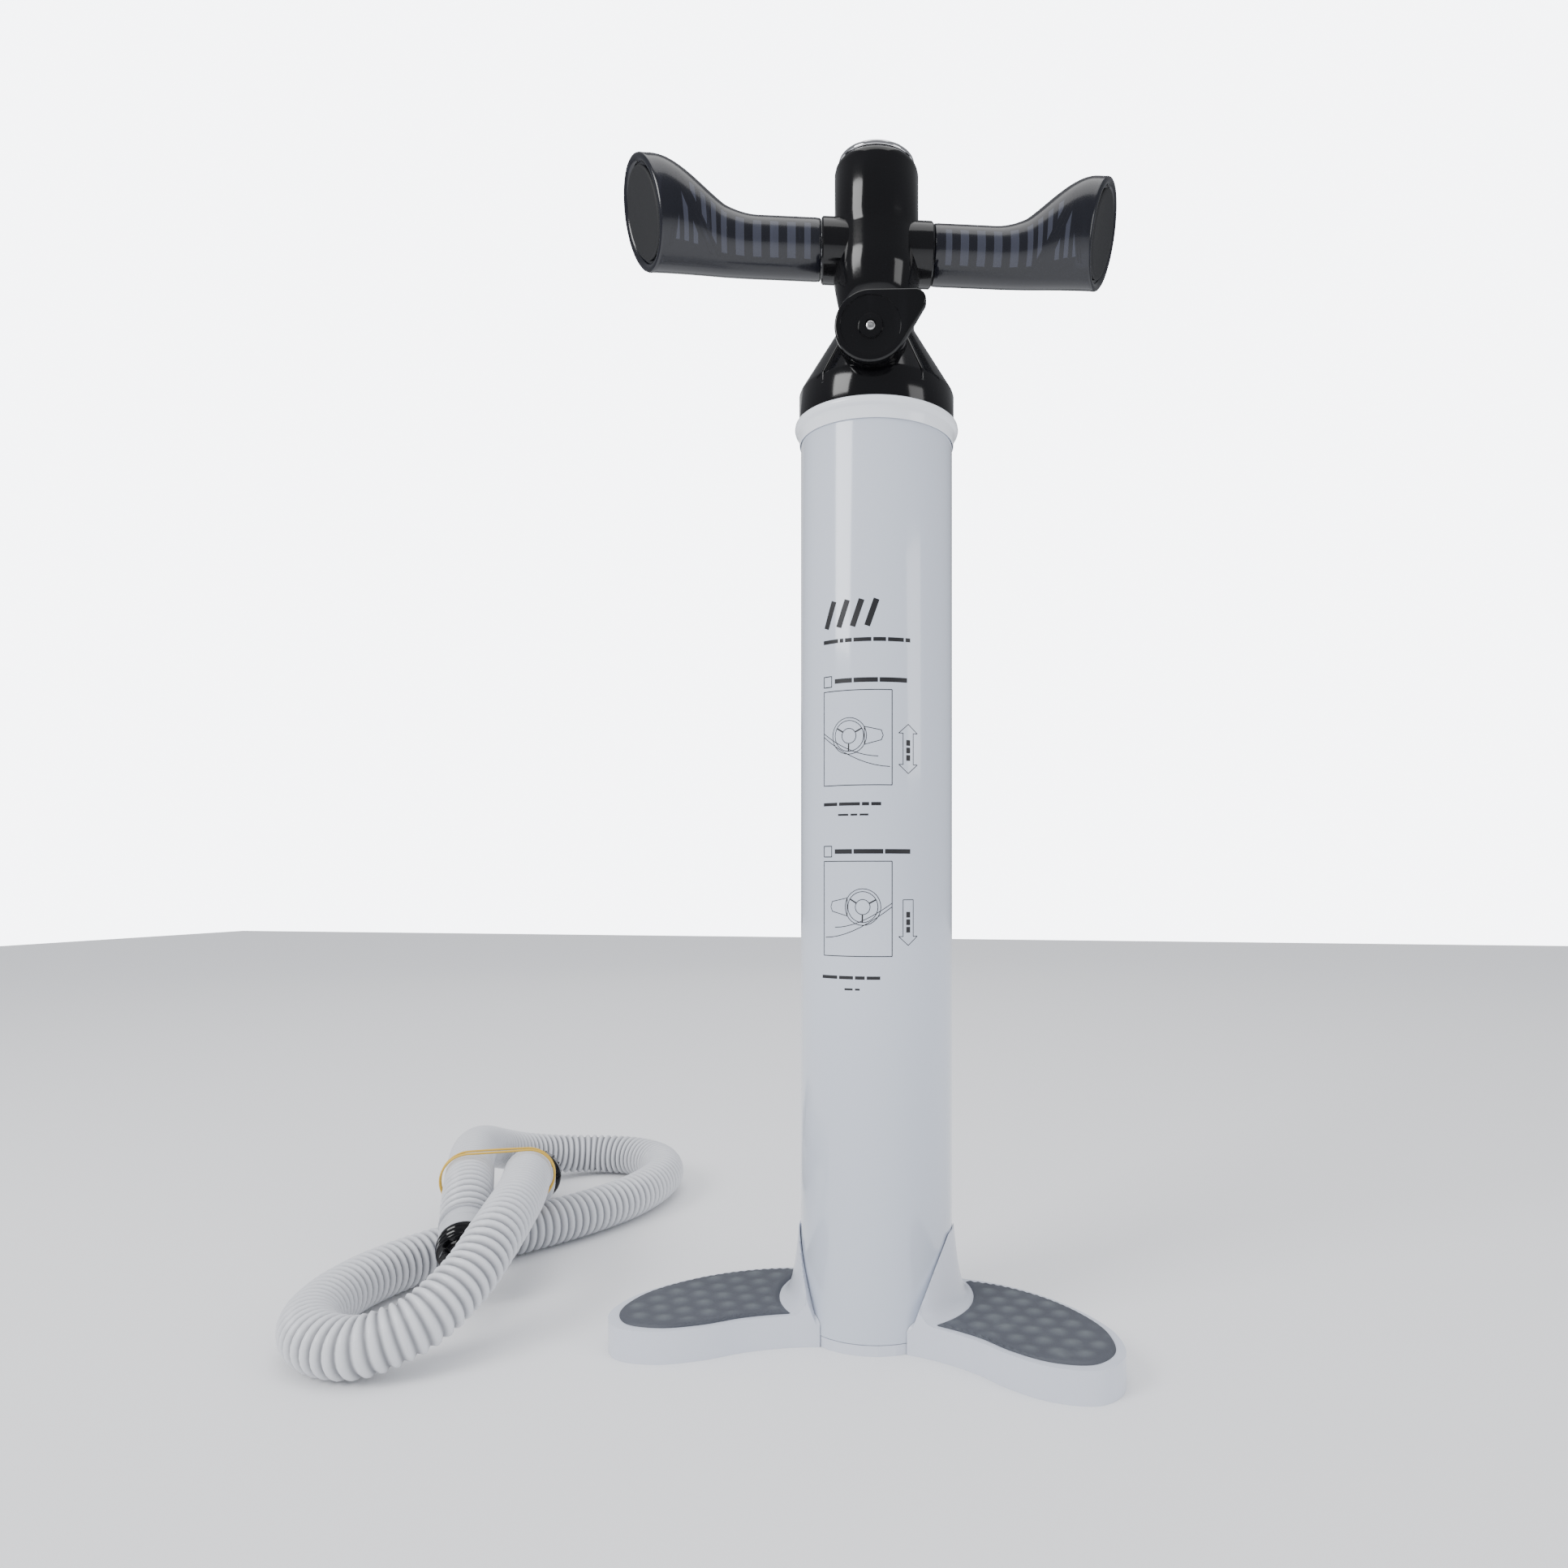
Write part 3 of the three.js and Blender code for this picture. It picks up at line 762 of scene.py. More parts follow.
@dataclass(frozen=True)
class BrushedMetal(Finish):
    """A drawn or turned metal with fine lines along Z."""

    def relief(self, hand: Nodes) -> tuple[object, object]:
        """Lines that run with the metal's drawing.

        Args:
            hand: The material's wiring hand.

        Returns:
            The mask of the lines and their height.
        """
        stretch = hand.add("ShaderNodeMapping")
        stretch.inputs["Scale"].default_value = (1.0, 1.0, 0.03)
        hand.feed(stretch.inputs["Vector"], hand.add("ShaderNodeTexCoord").outputs["Object"])
        drawn = hand.noise(stretch.outputs[0], 2200.0, 2.0)
        return hand.math("MULTIPLY", drawn, 0.35), drawn


@dataclass(frozen=True)
class ClearPlastic(Finish):
    """The gauge's lens."""

    def extra(self, shader: bpy.types.Node) -> None:
        """Lets light through."""
        shader.inputs["Transmission Weight"].default_value = 1.0
        shader.inputs["IOR"].default_value = 1.46


BARREL_WHITE = Finish("barrel_white", "barrel_white", (0.63, 0.675, 0.76), (0.59, 0.635, 0.725), 0.15, 0.06,
                      coat=0.5, grain_depth=0.000004, scuffs=0.2, cloud=6.0)
FOOT_WHITE = Finish("foot_white", "foot_white", (0.68, 0.71, 0.79), (0.61, 0.64, 0.72), 0.3, 0.1, coat=0.2,
                    grain_depth=0.000012, scuffs=0.4)
COLLAR_WHITE = Finish("collar_white", "foot_white", (0.88, 0.91, 0.96), (0.84, 0.87, 0.92), 0.2, 0.08, coat=0.3,
                      grain_depth=0.000006)
TREAD_GREY = TreadRubber("tread_grey", "pad_grey", (0.07, 0.075, 0.094), (0.13, 0.145, 0.158), 0.58, 0.2,
                         clouding=0.35, cloud=40.0, grain=1300.0, grain_depth=0.00008, scuffs=0.5)
GLOSS_BLACK = Finish("gloss_black", "gloss_black", (0.0022, 0.0022, 0.0026), (0.007, 0.007, 0.009), 0.11, 0.1,
                     specular=0.42, grain_depth=0.000006, scuffs=0.6, cloud=30.0)
# the pale blue-grey second colour is mostly the painted sheen on the engraved bars
GRIP_BLACK = EngravedPlastic("grip_black", "grip_black", (0.004, 0.0045, 0.008), (0.062, 0.067, 0.096), 0.2, 0.14,
                             coat=0.25, clouding=0.08, cloud=40.0, grain=1500.0, grain_depth=0.00003,
                             scuffs=0.3)
RUBBER = Finish("rubber_black", "rubber_black", (0.008, 0.0085, 0.01), (0.018, 0.019, 0.022), 0.6, 0.2,
                grain=1600.0, grain_depth=0.00006)
ALLOY = BrushedMetal("rod_alloy", "rod_alloy", (0.72, 0.73, 0.75), (0.6, 0.61, 0.64), 0.26, 0.1, metallic=1.0,
                     relief_depth=0.000006)
STEEL = BrushedMetal("screw_steel", "screw_steel", (0.66, 0.66, 0.66), (0.5, 0.5, 0.5), 0.28, 0.1, metallic=1.0,
                     relief_depth=0.000006)
CHROME = Finish("bezel_chrome", "bezel_chrome", (0.82, 0.82, 0.84), (0.74, 0.74, 0.77), 0.07, 0.05, metallic=1.0,
                grain_depth=0.000002, scuffs=0.3)
DIAL_WHITE = Finish("dial_white", "dial_white", (0.85, 0.85, 0.83), (0.78, 0.78, 0.76), 0.45, 0.1)
NEEDLE_RED = Finish("needle_red", "needle_red", (0.55, 0.03, 0.025), (0.45, 0.03, 0.03), 0.35, 0.1)
LENS = ClearPlastic("lens_clear", "lens_clear", (0.97, 0.985, 1.0), (0.93, 0.96, 0.98), 0.03, 0.02,
                    clouding=0.15, grain_depth=0.000002)
INK = Finish("print_ink", None, (0.012, 0.012, 0.014), (0.03, 0.03, 0.035), 0.4, 0.1)
CUFF_WHITE = Finish("cuff_white", "hose_white", (0.6, 0.61, 0.64), (0.52, 0.53, 0.56), 0.38, 0.12)
BAND_YELLOW = Finish("band_yellow", "band_yellow", (0.78, 0.5, 0.07), (0.62, 0.38, 0.05), 0.5, 0.15,
                     grain=1800.0, grain_depth=0.00005)


# ---------------------------------------------------------------- the hose


@dataclass
class Hose:
    """The loose hose, which lies on the floor in a figure of eight held by an elastic band."""

    radius: float = 16.5
    groove: float = 2.4
    ribs: int = 200
    rings_per_rib: int = 6
    sides: int = 24
    home: Point = (-278.0, 62.0)
    turn: float = 9.0
    cuff_length: float = 16.0
    nut_ridges: int = 16
    band_steps: int = 160
    band_sides: int = 10
    route: tuple[Spot, ...] = (
        (-17, 100, 22), (-13, 85, 22.3), (-7, 65, 28), (1, 40, 43), (10, 14, 55), (20, -18, 57.5), (29, -52, 58),
        (36, -88, 58), (39, -122, 53), (35, -152, 40), (20, -178, 26), (-5, -190, 18), (-31, -183, 16.8),
        (-49, -162, 16.8), (-56, -133, 16.8), (-54, -100, 16.8), (-44, -68, 16.8), (-26, -37, 16.8),
        (-2, -7, 16.8), (23, 22, 16.8), (46, 53, 16.8), (64, 88, 16.8), (73, 124, 16.8), (73, 160, 16.8),
        (59, 192, 16.8), (32, 212, 16.8), (0, 215, 17.5), (-31, 200, 21), (-53, 174, 29), (-62, 142, 40),
        (-60, 108, 50), (-52, 72, 56), (-41, 38, 57.5), (-28, 4, 57.5), (-16, -27, 56), (-8, -48, 51.5),
        (-1, -67, 43.5),
    )
    line: list[Vector] = field(default_factory=list)

    @property
    def seat(self) -> Matrix:
        """Where the hose lies."""
        return Matrix.Translation((*self.home, 0)) @ Matrix.Rotation(math.radians(self.turn), 4, "Z")

    def build(self) -> None:
        self.line = [self.seat @ p for p in evened(spline(self.route, 60), self.ribs * self.rings_per_rib)]
        # the dark second colour is mostly the painted shade in the grooves between the ribs
        plastic = GrooveShadedPlastic("hose_white", "hose_white", (0.74, 0.75, 0.78), (0.2, 0.205, 0.225), 0.34, 0.12,
                                clouding=0.12, ribs=self.ribs)
        tube = self.tube().piece("hose", plastic, Body.BARREL, "hose_tube", crease=80)
        ways = ((self.line[0] - self.line[1]).normalized(), (self.line[-1] - self.line[-2]).normalized())
        nut_seat = self.end_seat(self.line[0], ways[0])
        nozzle_seat = self.end_seat(self.line[-1], ways[1])
        pieces = [
            self.cuff().moved(nut_seat).piece("cuff_at_nut", CUFF_WHITE, Body.BARREL, "hose_cuff_nut"),
            self.cuff().moved(nozzle_seat).piece("cuff_at_nozzle", CUFF_WHITE, Body.BARREL, "hose_cuff_nozzle"),
            self.nut().moved(nut_seat).piece("swivel_nut", GLOSS_BLACK, Body.NUT, "hose_nut"),
            self.nozzle().moved(nozzle_seat).piece("nozzle", GLOSS_BLACK, Body.BARREL, "hose_nozzle"),
        ]
        for i in range(2):
            pieces.append(self.band(i).piece(f"elastic_{i + 1}", BAND_YELLOW, Body.BARREL, f"tie_band_{i + 1}"))
        path = [p * METRE for p in self.line]
        length = sum((b - a).length for a, b in zip(path, path[1:]))
        LOG.info("hose centreline: %.4f m", length)
        tuple(path[0])

    @staticmethod
    def end_seat(at: Vector, way: Vector) -> Matrix:
        """Stands a form on an end of the hose, along its way out."""
        turn: Quaternion = Vector((0, 0, 1)).rotation_difference(way)
        return Matrix.Translation(at) @ turn.to_matrix().to_4x4()

    def tube(self) -> Form:
        """The corrugated tube, with its frame carried along without twist.

        Returns:
            The tube, with its share of length as U.
        """
        count = len(self.line) - 1
        side = Vector((0, 0, 1))
        sides = []
        for i, at in enumerate(self.line):
            way = (self.line[min(i + 1, count)] - self.line[max(i - 1, 0)]).normalized()
            side = (side - way * side.dot(way)).normalized()
            sides.append((side.copy(), way.cross(side)))

        def place(u: float, v: float) -> Vector:
            """A point of the hose's skin.

            Args:
                u: The share of the length.
                v: The share of the way round.

            Returns:
                The point.
            """
            i = round(u * count)
            wave = 0.5 - 0.5 * math.cos(math.tau * i / self.rings_per_rib)
            radius = self.radius - 0.1 - self.groove * wave**1.4
            a, b = sides[i]
            turn = math.tau * v
            return self.line[i] + radius * (a * math.cos(turn) + b * math.sin(turn))

        return Form.draped(count, self.sides, place).capped()

    def cuff(self) -> Form:
        """A smooth end sleeve with two low steps.

        Returns:
            The sleeve, standing on Z.
        """
        r = 15.6
        return Form.turned([(0, 0.3), (r - 0.9, 0.3), (r - 0.9, 3), (r, 3.6), (r, 7), (r - 0.5, 7.4), (r - 0.5, 8.2),
                            (r, 8.6), (r, self.cuff_length), (0, self.cuff_length)], 64).softened(0.25, 2)

    def nut(self) -> Form:
        """The swivel nut: a shoulder, a ridged waist and a lipped mouth.

        Returns:
            The nut, standing on Z.
        """
        low = self.cuff_length + 0.3
        cup = Form.turned([
            (0, low), (16.2, low), (18.6, low + 1), (19.4, low + 3), (19.4, low + 8), (18, low + 10),
            (18, low + 21), (17.2, low + 23.2), (16, low + 24), (13, low + 24), (12, low + 23), (12, low + 12),
            (0, low + 12)], 96).softened(0.35, 3, 20)
        for i in range(self.nut_ridges):
            seat = Matrix.Rotation(math.tau * i / self.nut_ridges, 4, "Z") @ Matrix.Translation((18.1, 0, 0))
            cup.joined(Form.drum(0.75, low + 10.2, low + 21, 10).moved(seat))
        return cup

    def nozzle(self) -> Form:
        """The bayonet nozzle: a knurled collar, a tapered tip and two lugs.

        Returns:
            The nozzle, standing on Z.
        """
        low = self.cuff_length + 0.3
        tip = Form.turned([
            (0, low), (15.2, low), (16, low + 0.8), (16, low + 10.8), (15, low + 12), (11.6, low + 12),
            (11.2, low + 14), (10.5, low + 23), (9.8, low + 24), (7, low + 24), (7, low + 12), (0, low + 12)],
            80).softened(0.25, 2, 20)
        for side in (0, math.pi):
            lug = Form.block((9, -3, low + 16), (14, 3, low + 20)).softened(0.8, 3)
            tip.joined(lug.moved(Matrix.Rotation(side, 4, "Z")))
        for i in range(2):
            tip.joined(Form.turned([(16, low + 3 + 4 * i), (16.45, low + 3.8 + 4 * i), (16, low + 4.6 + 4 * i)], 80))
        return tip

    def band(self, index: int) -> Form:
        """One turn of the elastic round the two strands that lie side by side.

        Args:
            index: Which turn it is, from 0.

        Returns:
            The turn, in its place.
        """
        half, reach, thick = 19.4, self.radius + 1.9, 0.75
        seat = self.seat @ Matrix.Translation((-4.8, -3, 57.2)) @ Matrix.Rotation(math.radians(18), 4, "Z")
        oval = [Vector((half + reach * math.sin(a), 0, reach * math.cos(a)))
                for a in (math.pi * i / 24 for i in range(25))]
        oval += [Vector((-p.x, 0, -p.z)) for p in oval]
        steps = self.band_steps
        loop = evened([*oval, oval[0]], steps)

        def place(u: float, v: float) -> Vector:
            """A point of the elastic's skin.

            Args:
                u: The share of the way round the strands.
                v: The share of the way round the cord.

            Returns:
                The point.
            """
            i = round(u * steps) % steps
            out = (loop[(i + 1) % steps] - loop[i - 1]).cross(Vector((0, 1, 0))).normalized()
            sway = 1.1 * math.sin(math.tau * 2 * u) * (1 if index else -1)
            turn = math.tau * v
            along = Vector((0, -6.0 * index - 1 + sway, 0))
            return seat @ (loop[i] + along + out * thick * math.cos(turn) + Vector((0, thick * math.sin(turn), 0)))

        return Form.draped(steps, self.band_sides, place)


# ---------------------------------------------------------------- the barrel


@dataclass
class Barrel:
    """The barrel's tube, its collar and the printing on its front."""

    radius: float = 45.0
    bore: float = 43.0
    low: float = 6.3
    high: float = 528.0
    print_turn: float = 3.5
    ink_lift: float = 0.02
    ink_line: float = 0.42
    word_share: float = 0.62
    word_gap: float = 1.7
    bend_step: int = 2

    def build(self) -> None:
        """Makes the tube, the collar and the print."""
        tube = Form.turned([(self.bore, self.low), (self.radius, self.low), (self.radius, self.high),
                            (self.bore, self.high)], 160).softened(0.4, 3)
        tube.piece("barrel_shell", BARREL_WHITE, Body.BARREL, "barrel_tube")
        collar = Form.turned([(45.3, 522), (45.8, 522), (46, 526), (46.6, 528.6), (48.2, 530), (48.6, 531.4),
                              (48.3, 533.2), (47.4, 534), (45.3, 534)], 160).softened(0.4, 3, 12)
        collar.piece("collar", COLLAR_WHITE, Body.BARREL, "barrel_collar")
        self.print().piece("front_print", INK, Body.BARREL, crease=80)

    def print(self) -> Form:
        """The front's plain bars and framed pictures, wrapped round the tube.

        Returns:
            The ink, a little proud of the tube.
        """
        form = Form()
        for i in range(4):
            form.joined(self.stroke((-24 + 8.4 * i, 407), (-19 + 8.4 * i, 421), 3.4))
        self.words(form, -26, 399, 3.6, (9.5, 1.6, 3.4, 9.5, 6.5, 8.5, 2.2))
        self.panel(form, 344.5, True)
        self.words(form, -26, 307.5, 3.0, (9, 12, 3.5, 5))
        self.words(form, -16, 301.5, 1.8, (6, 3.6, 4.6))
        self.panel(form, 249, False)
        self.words(form, -27, 210.5, 3.0, (10, 8, 5, 7))
        self.words(form, -12, 204, 1.8, (4.6, 2.4))
        for cut in range(-32, 34, self.bend_step):
            everything = [*form.mesh.verts, *form.mesh.edges, *form.mesh.faces]
            bmesh.ops.bisect_plane(form.mesh, geom=everything, dist=TWIN, plane_co=(cut, 0, 0), plane_no=(1, 0, 0))
        for vertex in form.mesh.verts:
            turn = vertex.co.x / self.radius + math.radians(self.print_turn)
            reach = self.radius + self.ink_lift - vertex.co.y
            vertex.co.x, vertex.co.y = reach * math.sin(turn), -reach * math.cos(turn)
        return form

    @staticmethod
    def stroke(start: Point, stop: Point, width: float) -> Form:
        """A straight stroke of ink between two points of the flat drawing.

        Args:
            start: The first point.
            stop: The second point.
            width: How broad the stroke is.

        Returns:
            The stroke.
        """
        a, b = Vector((start[0], 0, start[1])), Vector((stop[0], 0, stop[1]))
        lean = math.atan2(b.z - a.z, b.x - a.x)
        bar = Form.block((-0.5, -0.03, -0.5), (0.5, 0.0, 0.5))
        size = Matrix.Diagonal(((b - a).length + width * 0.3, 1, width, 1))
        return bar.moved(Matrix.Translation((a + b) / 2) @ Matrix.Rotation(-lean, 4, "Y") @ size)

    def outline(self, form: Form, points: Iterable[Point], width: float) -> None:
        """A closed line of strokes.

        Args:
            form: The form to draw into.
            points: The line's corners.
            width: How broad the strokes are.
        """
        corners = list(points)
        for a, b in zip(corners, corners[1:] + corners[:1]):
            form.joined(self.stroke(a, b, width))

    def words(self, form: Form, start: float, middle: float, height: float, lengths: Sequence[float]) -> None:
        """A row of short bars that stands for a line of words.

        Args:
            form: The form to draw into.
            start: Where the row starts.
            middle: The height of its middle.
            height: The row's height.
            lengths: The bars' lengths.
        """
        for length in lengths:
            form.joined(self.stroke((start, middle), (start + length, middle), height * self.word_share))
            start += length + self.word_gap

    def panel(self, form: Form, middle: float, both_ways: bool) -> None:
        """A framed picture of the selector with an arrow beside it.

        Args:
            form: The form to draw into.
            middle: The height of the frame's centre.
            both_ways: True for the up-and-down arrow, false for the one that points down.
        """
        tick = [(-26, middle + 29), (-20.5, middle + 29), (-20.5, middle + 35), (-26, middle + 35)]
        self.outline(form, tick, 0.55)
        self.words(form, -18, middle + 32, 4.2, (10, 13, 15) if both_ways else (10, 16, 14))
        frame = [(-26, middle - 26.5), (15, middle - 26.5), (15, middle + 26.5), (-26, middle + 26.5)]
        self.outline(form, frame, 0.5)
        side = 1 if both_ways else -1
        hub = (-5.5 - 4 * side, middle + 1)
        for radius in (4.2, 8.6, 10.2):
            ring = [(hub[0] + radius * math.cos(a), hub[1] + radius * math.sin(a))
                    for a in (math.tau * i / 28 for i in range(28))]
            self.outline(form, ring, self.ink_line)
        for i in range(3):
            a = math.tau * i / 3 + 0.5
            form.joined(self.stroke((hub[0] + 4.2 * math.cos(a), hub[1] + 4.2 * math.sin(a)),
                                    (hub[0] + 8.6 * math.cos(a), hub[1] + 8.6 * math.sin(a)), 0.8))
        lever = [(hub[0] + side * out, middle + rise)
                 for out, rise in ((9, 6), (18.5, 4), (19.5, 1), (18.5, -1.5), (9, -4))]
        self.outline(form, lever, self.ink_line)
        for sweep, drop in ((30, 20.5), (36, 26.3)):
            arc = [(-5.5 - side * 20.3 + side * sweep * i / 9 * 1.1,
                    middle + 10 - drop * math.sin(0.35 + 1.2 * i / 9)) for i in range(10)]
            arc = [(min(max(x, -26), 15), max(z, middle - 26.5)) for x, z in arc]
            for a, b in zip(arc, arc[1:]):
                form.joined(self.stroke(a, b, self.ink_line))
        top, foot = (middle + 7.5, middle - 20) if both_ways else (middle + 5, middle - 20.5)
        right = [(24.5, foot), (30.2, foot + 5), (27.6, foot + 5), (27.6, top)]
        head = [(27.6, top - 5), (30.2, top - 5), (24.5, top)] if both_ways else []
        line = right[:3] + (head or [(27.6, top)])
        mirrored = [(49 - x, z) for x, z in reversed(line) if abs(x - 24.5) > 0.1]
        self.outline(form, line + mirrored, self.ink_line)
        for i in range(3):
            form.joined(self.stroke((24.5, foot + 7.5 + 4.2 * i), (24.5, foot + 10 + 4.2 * i), 2.4))


@dataclass
class Head:
    """The black cap over the barrel and the selector on its front."""

    seat_height: float = 569.0
    seat_reach: float = 47.5
    knob_radius: float = 20.0
    arm: float = 28.0
    tip: float = 6.0
    thick: float = 6.7
    gap: float = 0.3
    lean: float = 29.0
    turn: float = 8.0

    @property
    def seat(self) -> Matrix:
        """The cap's turn about the barrel's axis."""
        return Matrix.Rotation(math.radians(self.turn), 4, "Z")

    def build(self) -> None:
        """Makes the cap, the knob and its screw."""
        self.cap().moved(self.seat).piece("cap", GLOSS_BLACK, Body.BARREL, "head_cap")
        self.knob().moved(self.seat).piece("knob", GLOSS_BLACK, Body.SELECTOR, "selector_knob", crease=40)
        self.screw().moved(self.seat).piece("knob_screw", STEEL, Body.BARREL, "selector_screw")

    def cap(self) -> Form:
        """The cone with its band, its neck, the selector's seat and the webs that carry the seat.

        Returns:
            The cap.
        """
        shell = Form.turned([
            (36, 508), (42.3, 508), (42.3, 534.4), (46, 534.4), (46, 551), (45.2, 553), (24.8, 587), (22.8, 590.5),
            (22.5, 593), (22.5, 602), (16.2, 602), (16.2, 586), (13, 586), (13, 578), (36, 546)],
            128).softened(0.5, 3, 22)
        seat = Form.drum(self.knob_radius - 1, 24, self.seat_reach, 72).softened(0.4, 2)
        seat.moved(up(self.seat_height) @ TO_FRONT)
        webs = []
        for side in (-1, 1):
            web = Form.slab([(14, 546), (14, 584), (27.5, 584), (46.4, 552.5), (46.4, 546)], -1.2, 1.2)
            webs.append(web.softened(0.8, 3).moved(Matrix.Rotation(math.radians(-90 + side * 38), 4, "Z") @ TO_FRONT))
        return shell.joined(seat, *webs)

    def knob(self) -> Form:
        """The disc that runs out into a thumb lever, with a dished face.

        Returns:
            The knob, on its seat.
        """
        lean = math.radians(self.lean)
        wrap = math.acos((self.knob_radius - self.tip) / self.arm)
        line = [(self.knob_radius * math.cos(a), self.knob_radius * math.sin(a))
                for a in (lean + wrap + (math.tau - 2 * wrap) * i / 60 for i in range(61))]
        end = (self.arm * math.cos(lean), self.arm * math.sin(lean))
        line += [(end[0] + self.tip * math.cos(a), end[1] + self.tip * math.sin(a))
                 for a in (lean - wrap + 2 * wrap * i / 24 for i in range(25))]
        disc = Form.slab(line, 0, self.thick).softened(1.3, 5, 40)
        dish = Form.turned([(0, 5.2), (13, 5.2), (16.6, 6.1), (17.2, 8), (0, 8)], 72)
        boss = Form.turned([(0, 4.8), (7.2, 4.8), (6.6, 6.4), (5.6, 6.7), (0, 6.7)], 56)
        disc.carved(dish).carved(boss, keep=True)
        disc.carved(Form.drum(3.0, 4.8, 8, 32), Form.drum(1.8, -1, 6, 24))
        return disc.moved(Matrix.Translation((0, -self.seat_reach - self.gap, self.seat_height)) @ TO_FRONT)

    def screw(self) -> Form:
        """The screw, with a domed head and a hexagon socket.

        Returns:
            The screw, in its seat.
        """
        neck = self.seat_reach + self.gap + self.thick - 1.6
        screw = Form.turned([(0, neck - 16), (1.5, neck - 16), (1.5, neck), (2.7, neck), (2.7, neck + 1),
                             (2.2, neck + 1.45), (1.4, neck + 1.6), (0, neck + 1.6)], 40)
        screw.carved(Form.drum(1.15, neck + 0.5, neck + 3, 6))
        return screw.moved(up(self.seat_height) @ TO_FRONT)


# ---------------------------------------------------------------- the handle


@dataclass
class Handle:
    """The T-handle: the hub with its sockets and outlet, two flared grips, and the gauge on top."""

    turn: float = 16.0
    bar_height: float = 639.0
    reach: float = 33.0
    gap: float = 0.3
    grip_end: float = 157.0
    grip_low: float = 622.5
    grip_high: float = 656.0
    grip_top: float = 689.0
    grip_back: float = 23.3
    grip_sides: int = 72
    flare_from: float = 0.3
    flare_over: float = 0.62
    lean_from: float = 0.45
    lean_over: float = 0.55
    lean_back: float = 0.5
    lean_top: float = 0.22

    @property
    def seat(self) -> Matrix:
        """The handle's turn about the barrel's axis."""
        return Matrix.Rotation(math.radians(self.turn), 4, "Z")

    def build(self) -> None:
        """Makes the hub, both grips with their ends, and the gauge."""
        self.hub().moved(self.seat).piece("hub", GLOSS_BLACK, Body.HANDLE, "handle_hub", crease=38)
        for side in Side:
            hand = self.seat if side is Side.RIGHT else self.seat @ MIRROR
            self.grip().moved(hand).piece(f"flared_{side.word}", GRIP_BLACK, Body.HANDLE, f"grip_{side.word}",
                                          crease=60)
            self.inlay().moved(hand).piece(f"inlay_{side.word}", RUBBER, Body.HANDLE, f"grip_end_{side.word}",
                                           crease=50)
        self.gauge()

    def hub(self) -> Form:
        """The hub, hollow for the gauge above, the rod below, the core across and the air outlet behind.

        Returns:
            The hub.
        """
        body = Form.turned([
            (0, 604), (21.8, 604), (22.5, 604.8), (24.2, 613), (25.6, 621), (26, 624.5), (25.4, 632), (24.6, 646),
            (24.4, 649), (25, 652.5), (25, 684), (24.4, 686.4), (23.2, 688.2), (22, 689), (0, 689)], 112)
        arm = Form.turned([(0, -33), (17, -33), (18, -32), (18, 32), (17, 33), (0, 33)], 64)
        arm.moved(up(self.bar_height) @ TO_RIGHT)
        outlet = Form.turned([(0, 0), (16.5, 0), (16.5, 37.4), (15.9, 38), (0, 38)], 64).moved(up(634) @ TO_BACK)
        body.carved(arm, outlet, keep=True)
        cuts = [
            Form.drum(12, 23, 40, 48).moved(up(634) @ TO_BACK),
            Form.drum(11.4, 600, 624, 48),
            Form.drum(9.8, -40, 40, 48).moved(up(self.bar_height) @ TO_RIGHT),
            Form.drum(21.5, 674, 692, 96),
            Form.drum(2.3, -30, 30, 20).moved(up(614) @ TO_RIGHT),
        ]
        return body.carved(*cuts)

    def section(self, t: float) -> tuple[float, float, float]:
        """The section of a grip.

        Args:
            t: The share of its length.

        Returns:
            Half its height, its middle's height and half its depth.
        """
        rise = min(1.0, max(0.0, (t - self.flare_from) / self.flare_over))
        flare = rise * rise * (3 - 2 * rise)
        bottom, top = self.grip_low + 1.5 * flare, self.grip_high + (self.grip_top - self.grip_high) * flare
        return (top - bottom) / 2, (top + bottom) / 2, 16.8 + 6.5 * flare

    def on_grip(self, t: float, turn: float, share: float, push: float = 0.0) -> Vector:
        """A point of the grip.

        Args:
            t: The share of its length.
            turn: The angle round it, from the back over the top.
            share: The share of its section, 1 at the skin.
            push: How far the point lies beyond the place of t, in millimetres.

        Returns:
            The point, for the right grip before the handle's turn.
        """
        half, middle, deep = self.section(min(t, 1.0))
        y, z = deep * share * math.cos(turn), middle + half * share * math.sin(turn)
        start = self.reach + self.gap
        return Vector((start + (self.grip_end - start) * t + self.drawn_in(y, z, t) + push, y, z))

    def drawn_in(self, y: float, z: float, t: float) -> float:
        """How far in a point lies, because the end is cut with its top and its back furthest out."""
        lean = self.lean_back * (y - self.grip_back) - self.lean_top * (self.grip_top - z)
        return lean * max(0.0, (min(t, 1.0) - self.lean_from) / self.lean_over)

    def grip(self) -> Form:
        """The right grip with its rolled rim and dished end; its UV is the share of length and of height.

        Returns:
            The grip, before the handle's turn.
        """
        stations = [(0.0, 0.6, 0.0), (0.0, 0.955, 0.0), (0.006, 0.99, 0.0)]
        stations += [(t / 40, 1.0, 0.0) for t in range(1, 39)]
        stations += [(0.965, 1.0, 0.0), (0.982, 1.004, 0.0), (0.994, 0.995, 0.0), (1.0, 0.972, 0.0),
                     (1.0, 0.94, 0.25), (1.0, 0.9, 0.0), (1.0, 0.865, -0.7), (1.0, 0.845, -1.6), (1.0, 0.84, -2.2),
                     (1.0, 0.3, -2.2)]
        count = len(stations) - 1

        def place(u: float, v: float) -> Vector:
            """A point of the grip's skin.

            Args:
                u: The share of the stations.
                v: The share of the way round.

            Returns:
                The point.
            """
            t, share, push = stations[round(u * count)]
            return self.on_grip(t, math.tau * v, share, push)

